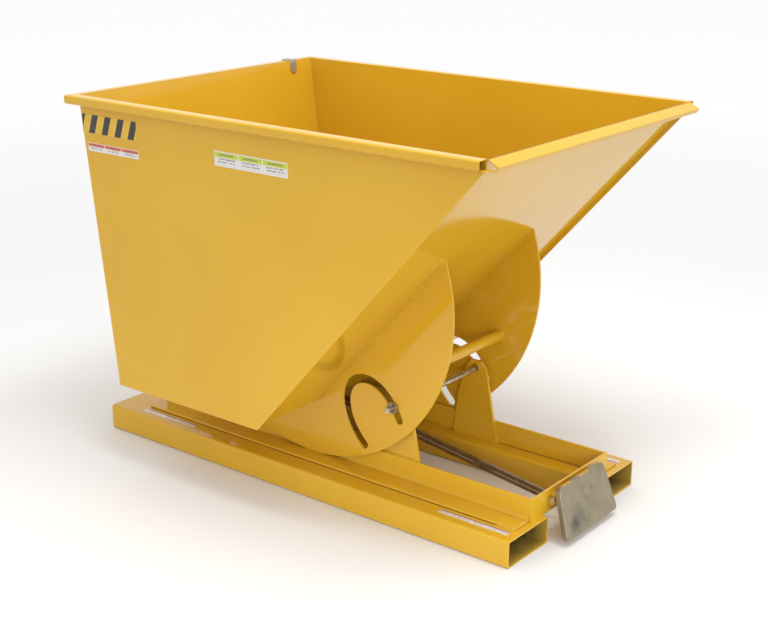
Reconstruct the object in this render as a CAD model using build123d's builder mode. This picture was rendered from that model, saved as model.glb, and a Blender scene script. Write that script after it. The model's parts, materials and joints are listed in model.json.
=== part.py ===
from build123d import *
import os
from math import atan2, cos, degrees, hypot, radians, sin, tan

# Self-dumping forklift hopper of one cubic yard, in millimetres.
# +X is the dumping side, +Y the hopper's left, +Z up. The origin is on the floor, under the middle
# of the overall length and width. Lengths along X are given from the rear end of the fork tubes.

OVERALL_LENGTH = 1532.5
CLEARANCE = 0.3

# Fork tubes
TUBE_LENGTH = 1472.0
TUBE_WIDTH = 188.0
TUBE_HEIGHT = 76.2
TUBE_WALL = 4.8
TUBE_CORNER = 10.0
TUBE_CENTRE_Y = 226.4

# Track angles that the rockers roll on
ANGLE_THICKNESS = 7.9
ANGLE_REAR = 110.0
LEG_OUTER_Y = 193.7
LEG_TOP = 141.0
FLANGE_OUTER_Y = 260.0
TRACK_TOP = TUBE_HEIGHT + ANGLE_THICKNESS
LEG_INNER_Y = LEG_OUTER_Y - ANGLE_THICKNESS

# Cross members
CROSS_PLATE = 6.4
FRONT_PLATE_FACE = 1457.6
MID_BAR_REAR = 640.0
MID_BAR_WIDTH = 114.0
MID_BAR_BOTTOM = 10.0
MID_BAR_THICKNESS = 9.5

# Bin
SHEET = 3.0
BIN_HALF_WIDTH = 485.2
BIN_BOTTOM = 248.3
BIN_TOP = 1077.2
BIN_REAR_LOW = 236.4
BIN_REAR_HIGH = 131.6
CHUTE_START = 759.0
CHUTE_END = 1490.0
# The side panels stand this far proud of the chute's underside, square to it.
PANEL_OVERHANG = 12.0

# Rim and lip
RIM_WIDTH = 28.0
RIM_HEIGHT = 25.0
RIM_SHEET = 2.5
RIM_CORNER = 6.0
RIM_FRONT = 1484.0
LIP_WIDTH = 31.0
LIP_RETURN = 14.0
LIP_SLOPE = -30.0

# Rockers
ROCKER_RADIUS = 480.0
ROCKER_CENTRE = 732.1
ROCKER_CENTRE_Z = TRACK_TOP + CLEARANCE + ROCKER_RADIUS
ROCKER_INNER_Y = 204.0
ROCKER_THICKNESS = 6.35
MAX_TILT = 76.0

# Guide rod, and the slot that lets the rockers roll past it
ROD_RADIUS = 8.0
ROD_X = 1021.0
ROD_Z = 290.0
ROD_END_Y = 238.0
SLOT_HALF_WIDTH = 13.0
SLOT_BEFORE_REST = -0.10
SLOT_PAST_LIMIT = 0.02
SLOT_POINTS = 25
# The disc is trimmed along the bin with an outline that reaches this far past it.
TRIM_REACH = 3 * ROCKER_RADIUS
WASHER_RADIUS = 17.0
WASHER_THICKNESS = 4.0
WASHER_INNER_Y = 213.0
SHAFT_CLEARANCE = 0.05
COTTER_RADIUS = 1.5
COTTER_HOLE = 1.7
COTTER_LENGTH = 28.0
COTTER_Y = 224.0

# Uprights that hold the guide rod
UPRIGHT_THICKNESS = 9.5
UPRIGHT_HOLE = 12.0
UPRIGHT_TOP = 316.0
# Side-view corners, from the rear of the foot round to the rear edge.
UPRIGHT_CORNERS = [
    (948.0, TUBE_HEIGHT),
    (1103.0, TUBE_HEIGHT),
    (1058.0, 296.0),
    (1040.0, UPRIGHT_TOP),
    (1006.0, UPRIGHT_TOP),
    (988.0, 292.0),
    (962.0, 196.0),
]

# Tube that ties the two rockers
CROSS_TUBE_X = 1081.6
CROSS_TUBE_Z = 398.1
CROSS_TUBE_RADIUS = 16.0
CROSS_TUBE_WALL = 3.0

# Bumper plate
BUMPER_TOP = (1489.8, 151.1)
BUMPER_BOTTOM = (1532.9, 18.9)
BUMPER_THICKNESS = 16.0
BUMPER_HALF_TOP = 113.0
BUMPER_HALF_BOTTOM = 131.0
BUMPER_CORNER = 9.0
BUMPER_BEVEL = 2.0

# Bumper hinge
HINGE_X = 1471.5
HINGE_Z = 112.0
HINGE_PIN_RADIUS = 7.0
HINGE_PIN_HALF = 113.0
HINGE_HEAD_RADIUS = 9.5
HINGE_HEAD_LENGTH = 5.0
KNUCKLE_RADIUS = 13.0
KNUCKLE_LENGTH = 38.0
BUMPER_KNUCKLE_Y = 41.0
BASE_KNUCKLE_Y = 81.0
HINGE_COTTER_Y = 106.0

# Release bar and its pins
BAR_THICKNESS = 10.0
BAR_HEIGHT = 25.0
BAR_FRONT = (1490.0, 46.0)
BAR_REAR = (430.0, 197.0)
BAR_EYE = 13.0
BAR_REAR_EYE = 15.0
BAR_PIN_RADIUS = 6.0
BAR_PIN_HALF = 14.0
BAR_SLOT_HALF_WIDTH = 7.5
BAR_SLOT_TRAVEL = 4.0
LINK_PLATE = 6.0
LINK_INNER_Y = 6.0
LUG_RADIUS = 14.0

# Latch under the rear of the bin
LATCH_X = 430.0
LATCH_Z = 140.0
LATCH_EYE = 16.0
NOSE_REACH = 12.0
NOSE_GAP = 1.5
NOSE_DEPTH = 10.5
NOSE_LIP = 4.0
NOSE_BEVEL = 7.0
SPINE_GAP = 5.0
SPINE_BEVEL = 6.0
NECK_LOW = 6.0
NECK_HIGH = 15.0
LATCH_BOLT_RADIUS = 8.0
EAR_INNER_Y = 16.0
EAR_THICKNESS = 6.0
EAR_HALF_WIDTH = 22.0
CROSS_MEMBER_HALF = 34.0
CROSS_MEMBER_THICKNESS = 8.0
BOLT_HEAD_WIDTH = 24.0
BOLT_HEAD_THICKNESS = 8.0
SPRING_WIRE = 1.2
SPRING_RADIUS = 10.2
SPRING_PITCH = 2.6
SPRING_LENGTH = 7.8
KEEPER_X = 448.0
KEEPER_Z = 221.0
KEEPER_RADIUS = 7.0
KEEPER_HALF = 40.0
KEEPER_BRACKET_Y = 28.0
KEEPER_BRACKET_THICKNESS = 6.0
KEEPER_BRACKET_HALF = 16.0

# Posts that the bin rests on when it is upright
POST_X = 300.0
POST_Y = 150.0
POST_SIZE = 40.0
POST_WALL = 4.0

# Cable hook over the rear rim
HOOK_Y = 394.0
HOOK_WIDTH = 28.0
HOOK_SHEET = 3.0
HOOK_TONGUE = 40.0
HOOK_TAIL = 30.0
HOOK_TIP_RADIUS = 12.0

# Labels
LABEL_THICKNESS = 0.4

# Rolling key, the stand-in body that carries the bin along as it rolls
KEY_Y = 198.9
KEY_SIZE = 6.0

os.makedirs("parts", exist_ok=True)


def from_rear(distance):
    """X of a point this far in front of the fork tubes' rear end."""
    return distance - OVERALL_LENGTH / 2


def at(point):
    """A side-view point, given as (distance from the rear, height)."""
    return (from_rear(point[0]), point[1])


def side_plane(side, inner, outer):
    """Side-view plane from which a plate is extruded towards -Y, filling inner to outer on one side."""
    return Plane.XZ.offset(inner if side == "right" else -outer)


def save(piece, name):
    piece.part.label = name
    export_step(piece.part, f"parts/{name}.step")


SIDES = ("right", "left")
SIGN = {"right": -1, "left": 1}

# ---------------------------------------------------------------- base frame

for side in SIDES:
    with BuildPart() as fork_tube:
        with BuildSketch(Plane.YZ.offset(from_rear(0))):
            with Locations((SIGN[side] * TUBE_CENTRE_Y, TUBE_HEIGHT / 2)):
                RectangleRounded(TUBE_WIDTH, TUBE_HEIGHT, TUBE_CORNER)
                RectangleRounded(
                    TUBE_WIDTH - 2 * TUBE_WALL,
                    TUBE_HEIGHT - 2 * TUBE_WALL,
                    TUBE_CORNER - TUBE_WALL,
                    mode=Mode.SUBTRACT,
                )
        extrude(amount=TUBE_LENGTH)
    save(fork_tube, f"fork_tube_{side}")

    # The angle's flange is the track; its leg stands on the inside and guides the rocker.
    with BuildPart() as track_angle:
        with BuildSketch(Plane.YZ.offset(from_rear(ANGLE_REAR))):
            with BuildLine():
                y = SIGN[side]
                Polyline(
                    (y * LEG_INNER_Y, TUBE_HEIGHT),
                    (y * FLANGE_OUTER_Y, TUBE_HEIGHT),
                    (y * FLANGE_OUTER_Y, TRACK_TOP),
                    (y * LEG_OUTER_Y, TRACK_TOP),
                    (y * LEG_OUTER_Y, LEG_TOP),
                    (y * LEG_INNER_Y, LEG_TOP),
                    close=True,
                )
            make_face()
        extrude(amount=FRONT_PLATE_FACE - CROSS_PLATE - ANGLE_REAR)
    save(track_angle, f"track_angle_{side}")

with BuildPart() as front_cross_plate:
    with BuildSketch(Plane.YZ.offset(from_rear(FRONT_PLATE_FACE - CROSS_PLATE))):
        with Locations((0, (TUBE_HEIGHT + LEG_TOP) / 2)):
            Rectangle(2 * LEG_OUTER_Y, LEG_TOP - TUBE_HEIGHT)
    extrude(amount=CROSS_PLATE)
save(front_cross_plate, "front_cross_plate")

with BuildPart() as rear_cross_plate:
    with BuildSketch(Plane.YZ.offset(from_rear(ANGLE_REAR))):
        with Locations((0, (TUBE_HEIGHT + LEG_TOP) / 2)):
            Rectangle(2 * LEG_INNER_Y, LEG_TOP - TUBE_HEIGHT)
    extrude(amount=CROSS_PLATE)
save(rear_cross_plate, "rear_cross_plate")

with BuildPart() as mid_cross_bar:
    with BuildSketch(Plane.XY.offset(MID_BAR_BOTTOM)):
        with Locations((from_rear(MID_BAR_REAR + MID_BAR_WIDTH / 2), 0)):
            Rectangle(MID_BAR_WIDTH, 2 * TUBE_CENTRE_Y - TUBE_WIDTH)
    extrude(amount=MID_BAR_THICKNESS)
save(mid_cross_bar, "mid_cross_bar")

# ---------------------------------------------------------------- uprights and guide rod

with BuildSketch(Plane.XZ) as upright_outline:
    with BuildLine():
        Polyline(*[at(corner) for corner in UPRIGHT_CORNERS], close=True)
    make_face()
    # The rod lies in the bottom of a larger hole.
    with Locations(at((ROD_X, ROD_Z + UPRIGHT_HOLE - ROD_RADIUS - SHAFT_CLEARANCE))):
        Circle(UPRIGHT_HOLE, mode=Mode.SUBTRACT)

for side in SIDES:
    with BuildPart() as upright:
        with BuildSketch(side_plane(side, LEG_INNER_Y - UPRIGHT_THICKNESS, LEG_INNER_Y)):
            add(upright_outline.sketch_local)
        extrude(amount=UPRIGHT_THICKNESS)
    save(upright, f"upright_{side}")

rod_centre = at((ROD_X, ROD_Z))

with BuildPart() as guide_rod:
    with BuildSketch(Plane.XZ.offset(-ROD_END_Y)):
        with Locations(rod_centre):
            Circle(ROD_RADIUS)
    extrude(amount=2 * ROD_END_Y)
    with Locations(
        (rod_centre[0], -COTTER_Y, ROD_Z + ROD_RADIUS),
        (rod_centre[0], COTTER_Y, ROD_Z + ROD_RADIUS),
    ):
        Hole(COTTER_HOLE)
save(guide_rod, "guide_rod")

with BuildPart() as guide_rod_washers:
    for offset in (WASHER_INNER_Y, -WASHER_INNER_Y - WASHER_THICKNESS):
        with BuildSketch(Plane.XZ.offset(offset)):
            with Locations(rod_centre):
                Circle(WASHER_RADIUS)
                Circle(ROD_RADIUS + SHAFT_CLEARANCE, mode=Mode.SUBTRACT)
        extrude(amount=WASHER_THICKNESS)
save(guide_rod_washers, "guide_rod_washers")

with BuildPart() as guide_rod_cotters:
    with BuildSketch(Plane.XY.offset(ROD_Z - COTTER_LENGTH / 2)):
        with Locations((rod_centre[0], -COTTER_Y), (rod_centre[0], COTTER_Y)):
            Circle(COTTER_RADIUS)
    extrude(amount=COTTER_LENGTH)
save(guide_rod_cotters, "guide_rod_cotters")

# ---------------------------------------------------------------- rest posts

with BuildPart() as rest_posts:
    with BuildSketch(Plane.XY.offset(TUBE_HEIGHT)):
        with Locations((from_rear(POST_X), -POST_Y), (from_rear(POST_X), POST_Y)):
            Rectangle(POST_SIZE, POST_SIZE)
            Rectangle(POST_SIZE - 2 * POST_WALL, POST_SIZE - 2 * POST_WALL, mode=Mode.SUBTRACT)
    extrude(amount=BIN_BOTTOM - CLEARANCE - TUBE_HEIGHT)
save(rest_posts, "rest_posts")

# ---------------------------------------------------------------- bin

# Side-view corners of the bin's outside: rear low, chute foot, chute head, rear high.
BIN_CORNERS = [
    (BIN_REAR_LOW, BIN_BOTTOM),
    (CHUTE_START, BIN_BOTTOM),
    (CHUTE_END, BIN_TOP),
    (BIN_REAR_HIGH, BIN_TOP),
]
CHUTE_SLOPE = atan2(BIN_TOP - BIN_BOTTOM, CHUTE_END - CHUTE_START)
BACK_LEAN = atan2(BIN_REAR_LOW - BIN_REAR_HIGH, BIN_TOP - BIN_BOTTOM)

panel_foot = CHUTE_START + PANEL_OVERHANG / sin(CHUTE_SLOPE)
panel_nose = BIN_BOTTOM + (RIM_FRONT - panel_foot) * tan(CHUTE_SLOPE)

# The side panels end at the rim's front, under the lip.
PANEL_CORNERS = [
    (BIN_REAR_LOW, BIN_BOTTOM),
    (panel_foot, BIN_BOTTOM),
    (RIM_FRONT, panel_nose),
    (RIM_FRONT, BIN_TOP),
    (BIN_REAR_HIGH, BIN_TOP),
]

with BuildSketch(Plane.XZ) as panel_outline:
    with BuildLine():
        Polyline(*[at(corner) for corner in PANEL_CORNERS], close=True)
    make_face()

for side in SIDES:
    with BuildPart() as side_panel:
        with BuildSketch(side_plane(side, BIN_HALF_WIDTH - SHEET, BIN_HALF_WIDTH)):
            add(panel_outline.sketch_local)
        extrude(amount=SHEET)
    save(side_panel, f"side_panel_{side}")

# Inside corners of the floor sheets, where neighbouring sheets meet on a mitre.
inner_rear_low = (
    BIN_REAR_LOW + SHEET * (1 - sin(BACK_LEAN)) / cos(BACK_LEAN),
    BIN_BOTTOM + SHEET,
)
inner_chute_foot = (
    CHUTE_START - SHEET * tan(CHUTE_SLOPE / 2),
    BIN_BOTTOM + SHEET,
)
inner_chute_head = (CHUTE_END - SHEET / sin(CHUTE_SLOPE), BIN_TOP)
inner_rear_high = (BIN_REAR_HIGH + SHEET / cos(BACK_LEAN), BIN_TOP)

FLOOR_SHEETS = {
    "back_panel": (BIN_CORNERS[0], BIN_CORNERS[3], inner_rear_high, inner_rear_low),
    "bottom_panel": (BIN_CORNERS[0], BIN_CORNERS[1], inner_chute_foot, inner_rear_low),
    "chute_panel": (BIN_CORNERS[1], BIN_CORNERS[2], inner_chute_head, inner_chute_foot),
}

for name, corners in FLOOR_SHEETS.items():
    with BuildPart() as floor_sheet:
        with BuildSketch(Plane.XZ.offset(SHEET - BIN_HALF_WIDTH)):
            with BuildLine():
                Polyline(*[at(corner) for corner in corners], close=True)
            make_face()
        extrude(amount=2 * (BIN_HALF_WIDTH - SHEET))
    save(floor_sheet, name)

# Lip: the chute's head folds forward and down, then back under itself.
slope = radians(LIP_SLOPE)
along = (cos(slope), sin(slope))
under = (sin(slope), -cos(slope))
lip_head = BIN_CORNERS[2]
lip_nose = (lip_head[0] + LIP_WIDTH * along[0], lip_head[1] + LIP_WIDTH * along[1])
lip_tail = (lip_nose[0] + LIP_RETURN * under[0], lip_nose[1] + LIP_RETURN * under[1])
tail_inner = (lip_tail[0] - SHEET * along[0], lip_tail[1] - SHEET * along[1])
nose_inner = (
    lip_nose[0] + SHEET * (under[0] - along[0]),
    lip_nose[1] + SHEET * (under[1] - along[1]),
)
fold = SHEET / sin(CHUTE_SLOPE - slope)
head_inner = (
    lip_head[0] - fold * cos(CHUTE_SLOPE),
    lip_head[1] - fold * sin(CHUTE_SLOPE),
)

with BuildPart() as lip_flange:
    with BuildSketch(Plane.XZ.offset(-BIN_HALF_WIDTH)):
        with BuildLine():
            Polyline(
                *[at(p) for p in (lip_head, lip_nose, lip_tail, tail_inner, nose_inner, head_inner)],
                close=True,
            )
        make_face()
    extrude(amount=2 * BIN_HALF_WIDTH)
save(lip_flange, "lip_flange")

# ---------------------------------------------------------------- rim

RIM_BOTTOM = BIN_TOP - RIM_HEIGHT
RIM_REAR = BIN_REAR_HIGH - RIM_WIDTH
RIM_OUTER_Y = BIN_HALF_WIDTH + RIM_WIDTH

for side in SIDES:
    sign = SIGN[side]
    with BuildPart() as rim:
        with BuildSketch(Plane.YZ.offset(from_rear(RIM_REAR))):
            with BuildLine():
                Polyline(
                    (sign * BIN_HALF_WIDTH, BIN_TOP),
                    (sign * RIM_OUTER_Y, BIN_TOP),
                    (sign * RIM_OUTER_Y, RIM_BOTTOM),
                    (sign * BIN_HALF_WIDTH, RIM_BOTTOM),
                    (sign * BIN_HALF_WIDTH, RIM_BOTTOM + RIM_SHEET),
                    (sign * (RIM_OUTER_Y - RIM_SHEET), RIM_BOTTOM + RIM_SHEET),
                    (sign * (RIM_OUTER_Y - RIM_SHEET), BIN_TOP - RIM_SHEET),
                    (sign * BIN_HALF_WIDTH, BIN_TOP - RIM_SHEET),
                    close=True,
                )
            make_face()
        extrude(amount=RIM_FRONT - RIM_REAR)
        outer_edges = rim.edges().filter_by(Axis.X).group_by(Axis.Y)[-1 if sign > 0 else 0]
        fillet(outer_edges, RIM_CORNER)
        corner = (from_rear(RIM_REAR), sign * RIM_OUTER_Y, BIN_TOP)
        split(bisect_by=Plane(origin=corner, z_dir=(1, sign, 0)), keep=Keep.TOP)
    save(rim, f"rim_{side}")

rim_root_low = BIN_REAR_LOW - (RIM_BOTTOM - BIN_BOTTOM) * tan(BACK_LEAN)
rim_root_high = BIN_REAR_HIGH + RIM_SHEET * tan(BACK_LEAN)

with BuildPart() as rim_rear:
    with BuildSketch(Plane.XZ.offset(-RIM_OUTER_Y)):
        with BuildLine():
            Polyline(
                at((BIN_REAR_HIGH, BIN_TOP)),
                at((RIM_REAR, BIN_TOP)),
                at((RIM_REAR, RIM_BOTTOM)),
                at((rim_root_low, RIM_BOTTOM)),
                at((rim_root_low - RIM_SHEET * tan(BACK_LEAN), RIM_BOTTOM + RIM_SHEET)),
                at((RIM_REAR + RIM_SHEET, RIM_BOTTOM + RIM_SHEET)),
                at((RIM_REAR + RIM_SHEET, BIN_TOP - RIM_SHEET)),
                at((rim_root_high, BIN_TOP - RIM_SHEET)),
                close=True,
            )
        make_face()
    extrude(amount=2 * RIM_OUTER_Y)
    fillet(rim_rear.edges().filter_by(Axis.Y).group_by(Axis.X)[0], RIM_CORNER)
    for sign in (-1, 1):
        corner = (from_rear(RIM_REAR), sign * RIM_OUTER_Y, BIN_TOP)
        split(bisect_by=Plane(origin=corner, z_dir=(-1, -sign, 0)), keep=Keep.TOP)
save(rim_rear, "rim_rear")

# ---------------------------------------------------------------- rockers

# Seen from the rolling rocker, the fixed guide rod runs along a trochoid: the rod's distance ahead
# of the rocker's centre shrinks by radius times tilt, and the view turns by the tilt.
ROD_AHEAD = ROD_X - ROCKER_CENTRE
ROD_BELOW = ROCKER_CENTRE_Z - ROD_Z


def slot_edge(tilt, shift):
    """Point of the slot at this tilt in radians, moved sideways by shift from the rod's path."""
    ahead = ROD_AHEAD - ROCKER_RADIUS * tilt
    x = ahead * cos(tilt) + ROD_BELOW * sin(tilt)
    z = ahead * sin(tilt) - ROD_BELOW * cos(tilt)
    speed_x = (ROD_BELOW - ROCKER_RADIUS) * cos(tilt) - ahead * sin(tilt)
    speed_z = (ROD_BELOW - ROCKER_RADIUS) * sin(tilt) + ahead * cos(tilt)
    speed = hypot(speed_x, speed_z)
    x_out = x - shift * speed_z / speed
    z_out = z + shift * speed_x / speed
    return (from_rear(ROCKER_CENTRE) + x_out, ROCKER_CENTRE_Z + z_out)


def slot_end(tilt, direction):
    """Middle point of the slot's round end, beyond the rod's path."""
    left = slot_edge(tilt, SLOT_HALF_WIDTH)
    right = slot_edge(tilt, -SLOT_HALF_WIDTH)
    middle = ((left[0] + right[0]) / 2, (left[1] + right[1]) / 2)
    across = ((left[0] - right[0]) / 2, (left[1] - right[1]) / 2)
    return (middle[0] + direction * across[1], middle[1] - direction * across[0])


first_tilt = SLOT_BEFORE_REST
last_tilt = radians(MAX_TILT) + SLOT_PAST_LIMIT
step = (last_tilt - first_tilt) / (SLOT_POINTS - 1)
slot_tilts = [first_tilt + step * i for i in range(SLOT_POINTS)]
left_edge = [slot_edge(tilt, SLOT_HALF_WIDTH) for tilt in slot_tilts]
right_edge = [slot_edge(tilt, -SLOT_HALF_WIDTH) for tilt in slot_tilts]

with BuildSketch(Plane.XZ) as rocker_outline:
    with Locations(at((ROCKER_CENTRE, ROCKER_CENTRE_Z))):
        Circle(ROCKER_RADIUS)
    with BuildLine():
        head = (
            CHUTE_START + TRIM_REACH * cos(CHUTE_SLOPE),
            BIN_BOTTOM + TRIM_REACH * sin(CHUTE_SLOPE),
        )
        Polyline(
            at((CHUTE_START, BIN_BOTTOM)),
            at(head),
            at((-TRIM_REACH, head[1])),
            at((-TRIM_REACH, BIN_BOTTOM)),
            close=True,
        )
    make_face(mode=Mode.SUBTRACT)
    with BuildLine():
        Spline(*left_edge)
        ThreePointArc(left_edge[-1], slot_end(last_tilt, 1), right_edge[-1])
        Spline(*reversed(right_edge))
        ThreePointArc(right_edge[0], slot_end(first_tilt, -1), left_edge[0])
    make_face(mode=Mode.SUBTRACT)

for side in SIDES:
    with BuildPart() as rocker:
        with BuildSketch(side_plane(side, ROCKER_INNER_Y, ROCKER_INNER_Y + ROCKER_THICKNESS)):
            add(rocker_outline.sketch_local)
        extrude(amount=ROCKER_THICKNESS)
    save(rocker, f"rocker_{side}")

with BuildPart() as cross_tube:
    with BuildSketch(Plane.XZ.offset(-ROCKER_INNER_Y)):
        with Locations(at((CROSS_TUBE_X, CROSS_TUBE_Z))):
            Circle(CROSS_TUBE_RADIUS)
            Circle(CROSS_TUBE_RADIUS - CROSS_TUBE_WALL, mode=Mode.SUBTRACT)
    extrude(amount=2 * ROCKER_INNER_Y)
save(cross_tube, "cross_tube")

# ---------------------------------------------------------------- bumper and its hinge

BUMPER_HEIGHT = hypot(BUMPER_BOTTOM[0] - BUMPER_TOP[0], BUMPER_TOP[1] - BUMPER_BOTTOM[1])
down = (
    (BUMPER_BOTTOM[0] - BUMPER_TOP[0]) / BUMPER_HEIGHT,
    (BUMPER_BOTTOM[1] - BUMPER_TOP[1]) / BUMPER_HEIGHT,
)
facing = (-down[1], down[0])


def behind_bumper(point):
    """Distance from a side-view point to the bumper plate's back face."""
    gap = [(BUMPER_TOP[i] - point[i]) * facing[i] for i in (0, 1)]
    return sum(gap) - BUMPER_THICKNESS


with BuildPart() as bumper_plate:
    front_face = Plane(
        origin=(from_rear(BUMPER_TOP[0]), 0, BUMPER_TOP[1]),
        x_dir=(0, 1, 0),
        z_dir=(facing[0], 0, facing[1]),
    )
    with BuildSketch(front_face):
        with BuildLine():
            Polyline(
                (-BUMPER_HALF_TOP, 0),
                (BUMPER_HALF_TOP, 0),
                (BUMPER_HALF_BOTTOM, -BUMPER_HEIGHT),
                (-BUMPER_HALF_BOTTOM, -BUMPER_HEIGHT),
                close=True,
            )
        make_face()
        chamfer(vertices(), BUMPER_CORNER)
    extrude(amount=-BUMPER_THICKNESS)
    chamfer(bumper_plate.faces().sort_by(Axis((0, 0, 0), front_face.z_dir))[-1].edges(), BUMPER_BEVEL)
save(bumper_plate, "bumper_plate")


def weld_web(point, radius):
    """Corners of the web that joins a round boss at point to the bumper plate's back face."""
    gap = behind_bumper(point)
    corners = []
    for rise, depth in ((-radius, 0), (radius, 0), (radius, gap), (-radius, gap)):
        x = point[0] + rise * down[0] + depth * facing[0]
        z = point[1] + rise * down[1] + depth * facing[1]
        corners.append(at((x, z)))
    return corners


hinge = (HINGE_X, HINGE_Z)

with BuildPart() as bumper_knuckles:
    for centre in (-BUMPER_KNUCKLE_Y, BUMPER_KNUCKLE_Y):
        with BuildSketch(Plane.XZ.offset(centre - KNUCKLE_LENGTH / 2)):
            with Locations(at(hinge)):
                Circle(KNUCKLE_RADIUS)
            with BuildLine():
                Polyline(*weld_web(hinge, KNUCKLE_RADIUS), close=True)
            make_face()
            with Locations(at(hinge)):
                Circle(HINGE_PIN_RADIUS + SHAFT_CLEARANCE, mode=Mode.SUBTRACT)
        extrude(amount=KNUCKLE_LENGTH)
save(bumper_knuckles, "bumper_knuckles")

with BuildPart() as base_knuckles:
    web = HINGE_X - FRONT_PLATE_FACE
    for centre in (-BASE_KNUCKLE_Y, BASE_KNUCKLE_Y):
        with BuildSketch(Plane.XZ.offset(centre - KNUCKLE_LENGTH / 2)):
            with Locations(at(hinge)):
                Circle(KNUCKLE_RADIUS)
            with Locations(at((HINGE_X - web / 2, HINGE_Z))):
                Rectangle(web, 2 * KNUCKLE_RADIUS)
            with Locations(at(hinge)):
                Circle(HINGE_PIN_RADIUS + SHAFT_CLEARANCE, mode=Mode.SUBTRACT)
        extrude(amount=KNUCKLE_LENGTH)
save(base_knuckles, "base_knuckles")

with BuildPart() as hinge_pin:
    with BuildSketch(Plane.XZ.offset(-HINGE_PIN_HALF)):
        with Locations(at(hinge)):
            Circle(HINGE_PIN_RADIUS)
    extrude(amount=2 * HINGE_PIN_HALF)
    with BuildSketch(Plane.XZ.offset(HINGE_PIN_HALF)):
        with Locations(at(hinge)):
            Circle(HINGE_HEAD_RADIUS)
    extrude(amount=HINGE_HEAD_LENGTH)
    with Locations((from_rear(HINGE_X), HINGE_COTTER_Y, HINGE_Z + HINGE_PIN_RADIUS)):
        Hole(COTTER_HOLE)
save(hinge_pin, "hinge_pin")

with BuildPart() as hinge_cotter:
    with BuildSketch(Plane.XY.offset(HINGE_Z - COTTER_LENGTH / 2)):
        with Locations((from_rear(HINGE_X), HINGE_COTTER_Y)):
            Circle(COTTER_RADIUS)
    extrude(amount=COTTER_LENGTH)
save(hinge_cotter, "hinge_cotter")

with BuildPart() as bumper_lugs:
    for offset in (LINK_INNER_Y, -LINK_INNER_Y - LINK_PLATE):
        with BuildSketch(Plane.XZ.offset(offset)):
            with Locations(at(BAR_FRONT)):
                Circle(LUG_RADIUS)
            with BuildLine():
                Polyline(*weld_web(BAR_FRONT, LUG_RADIUS), close=True)
            make_face()
            with Locations(at(BAR_FRONT)):
                Circle(BAR_PIN_RADIUS + SHAFT_CLEARANCE, mode=Mode.SUBTRACT)
        extrude(amount=LINK_PLATE)
save(bumper_lugs, "bumper_lugs")

with BuildPart() as bar_front_pin:
    with BuildSketch(Plane.XZ.offset(-BAR_PIN_HALF)):
        with Locations(at(BAR_FRONT)):
            Circle(BAR_PIN_RADIUS)
    extrude(amount=2 * BAR_PIN_HALF)
save(bar_front_pin, "bar_front_pin")

# ---------------------------------------------------------------- release bar

bar_run = (BAR_FRONT[0] - BAR_REAR[0], BAR_FRONT[1] - BAR_REAR[1])
bar_length = hypot(*bar_run)
bar_angle = degrees(atan2(bar_run[1], bar_run[0]))
bar_middle = ((BAR_FRONT[0] + BAR_REAR[0]) / 2, (BAR_FRONT[1] + BAR_REAR[1]) / 2)

with BuildPart() as release_bar:
    with BuildSketch(Plane.XZ.offset(-BAR_THICKNESS / 2)):
        with Locations(Location((*at(bar_middle), 0), (0, 0, bar_angle))):
            Rectangle(bar_length, BAR_HEIGHT)
        with Locations(at(BAR_FRONT)):
            Circle(BAR_EYE)
        with Locations(at(BAR_REAR)):
            Circle(BAR_REAR_EYE)
        with Locations(at(BAR_FRONT)):
            Circle(BAR_PIN_RADIUS + SHAFT_CLEARANCE, mode=Mode.SUBTRACT)
        with Locations(Location((*at(BAR_REAR), 0), (0, 0, bar_angle + 90))):
            SlotCenterToCenter(2 * BAR_SLOT_TRAVEL, 2 * BAR_SLOT_HALF_WIDTH, mode=Mode.SUBTRACT)
    extrude(amount=BAR_THICKNESS)
save(release_bar, "release_bar")

# ---------------------------------------------------------------- latch

with BuildPart() as latch_cross_member:
    with BuildSketch(Plane.XY.offset(TUBE_HEIGHT)):
        with Locations((from_rear(LATCH_X), 0)):
            Rectangle(2 * CROSS_MEMBER_HALF, 2 * LEG_INNER_Y)
    extrude(amount=CROSS_MEMBER_THICKNESS)
save(latch_cross_member, "latch_cross_member")

latch_pivot = (LATCH_X, LATCH_Z)

with BuildPart() as latch_ears:
    ear_foot = TUBE_HEIGHT + CROSS_MEMBER_THICKNESS
    for offset in (EAR_INNER_Y, -EAR_INNER_Y - EAR_THICKNESS):
        with BuildSketch(Plane.XZ.offset(offset)):
            with Locations(at((LATCH_X, (LATCH_Z + ear_foot) / 2))):
                Rectangle(2 * EAR_HALF_WIDTH, LATCH_Z - ear_foot)
            with Locations(at(latch_pivot)):
                Circle(EAR_HALF_WIDTH)
                Circle(LATCH_BOLT_RADIUS + SHAFT_CLEARANCE, mode=Mode.SUBTRACT)
        extrude(amount=EAR_THICKNESS)
save(latch_ears, "latch_ears")

with BuildPart() as latch_bolt:
    with BuildSketch(Plane.XZ.offset(-EAR_INNER_Y - EAR_THICKNESS - BOLT_HEAD_THICKNESS)):
        with Locations(at(latch_pivot)):
            Circle(LATCH_BOLT_RADIUS)
    extrude(amount=2 * (EAR_INNER_Y + EAR_THICKNESS) + BOLT_HEAD_THICKNESS)
    with BuildSketch(Plane.XZ.offset(EAR_INNER_Y + EAR_THICKNESS)):
        with Locations(at(latch_pivot)):
            RegularPolygon(BOLT_HEAD_WIDTH / 2, 6, major_radius=False)
    extrude(amount=BOLT_HEAD_THICKNESS)
save(latch_bolt, "latch_bolt")

with BuildPart() as latch_nut:
    with BuildSketch(Plane.XZ.offset(-EAR_INNER_Y - EAR_THICKNESS - BOLT_HEAD_THICKNESS)):
        with Locations(at(latch_pivot)):
            RegularPolygon(BOLT_HEAD_WIDTH / 2, 6, major_radius=False)
            Circle(LATCH_BOLT_RADIUS + SHAFT_CLEARANCE, mode=Mode.SUBTRACT)
    extrude(amount=BOLT_HEAD_THICKNESS)
save(latch_nut, "latch_nut")

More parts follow.
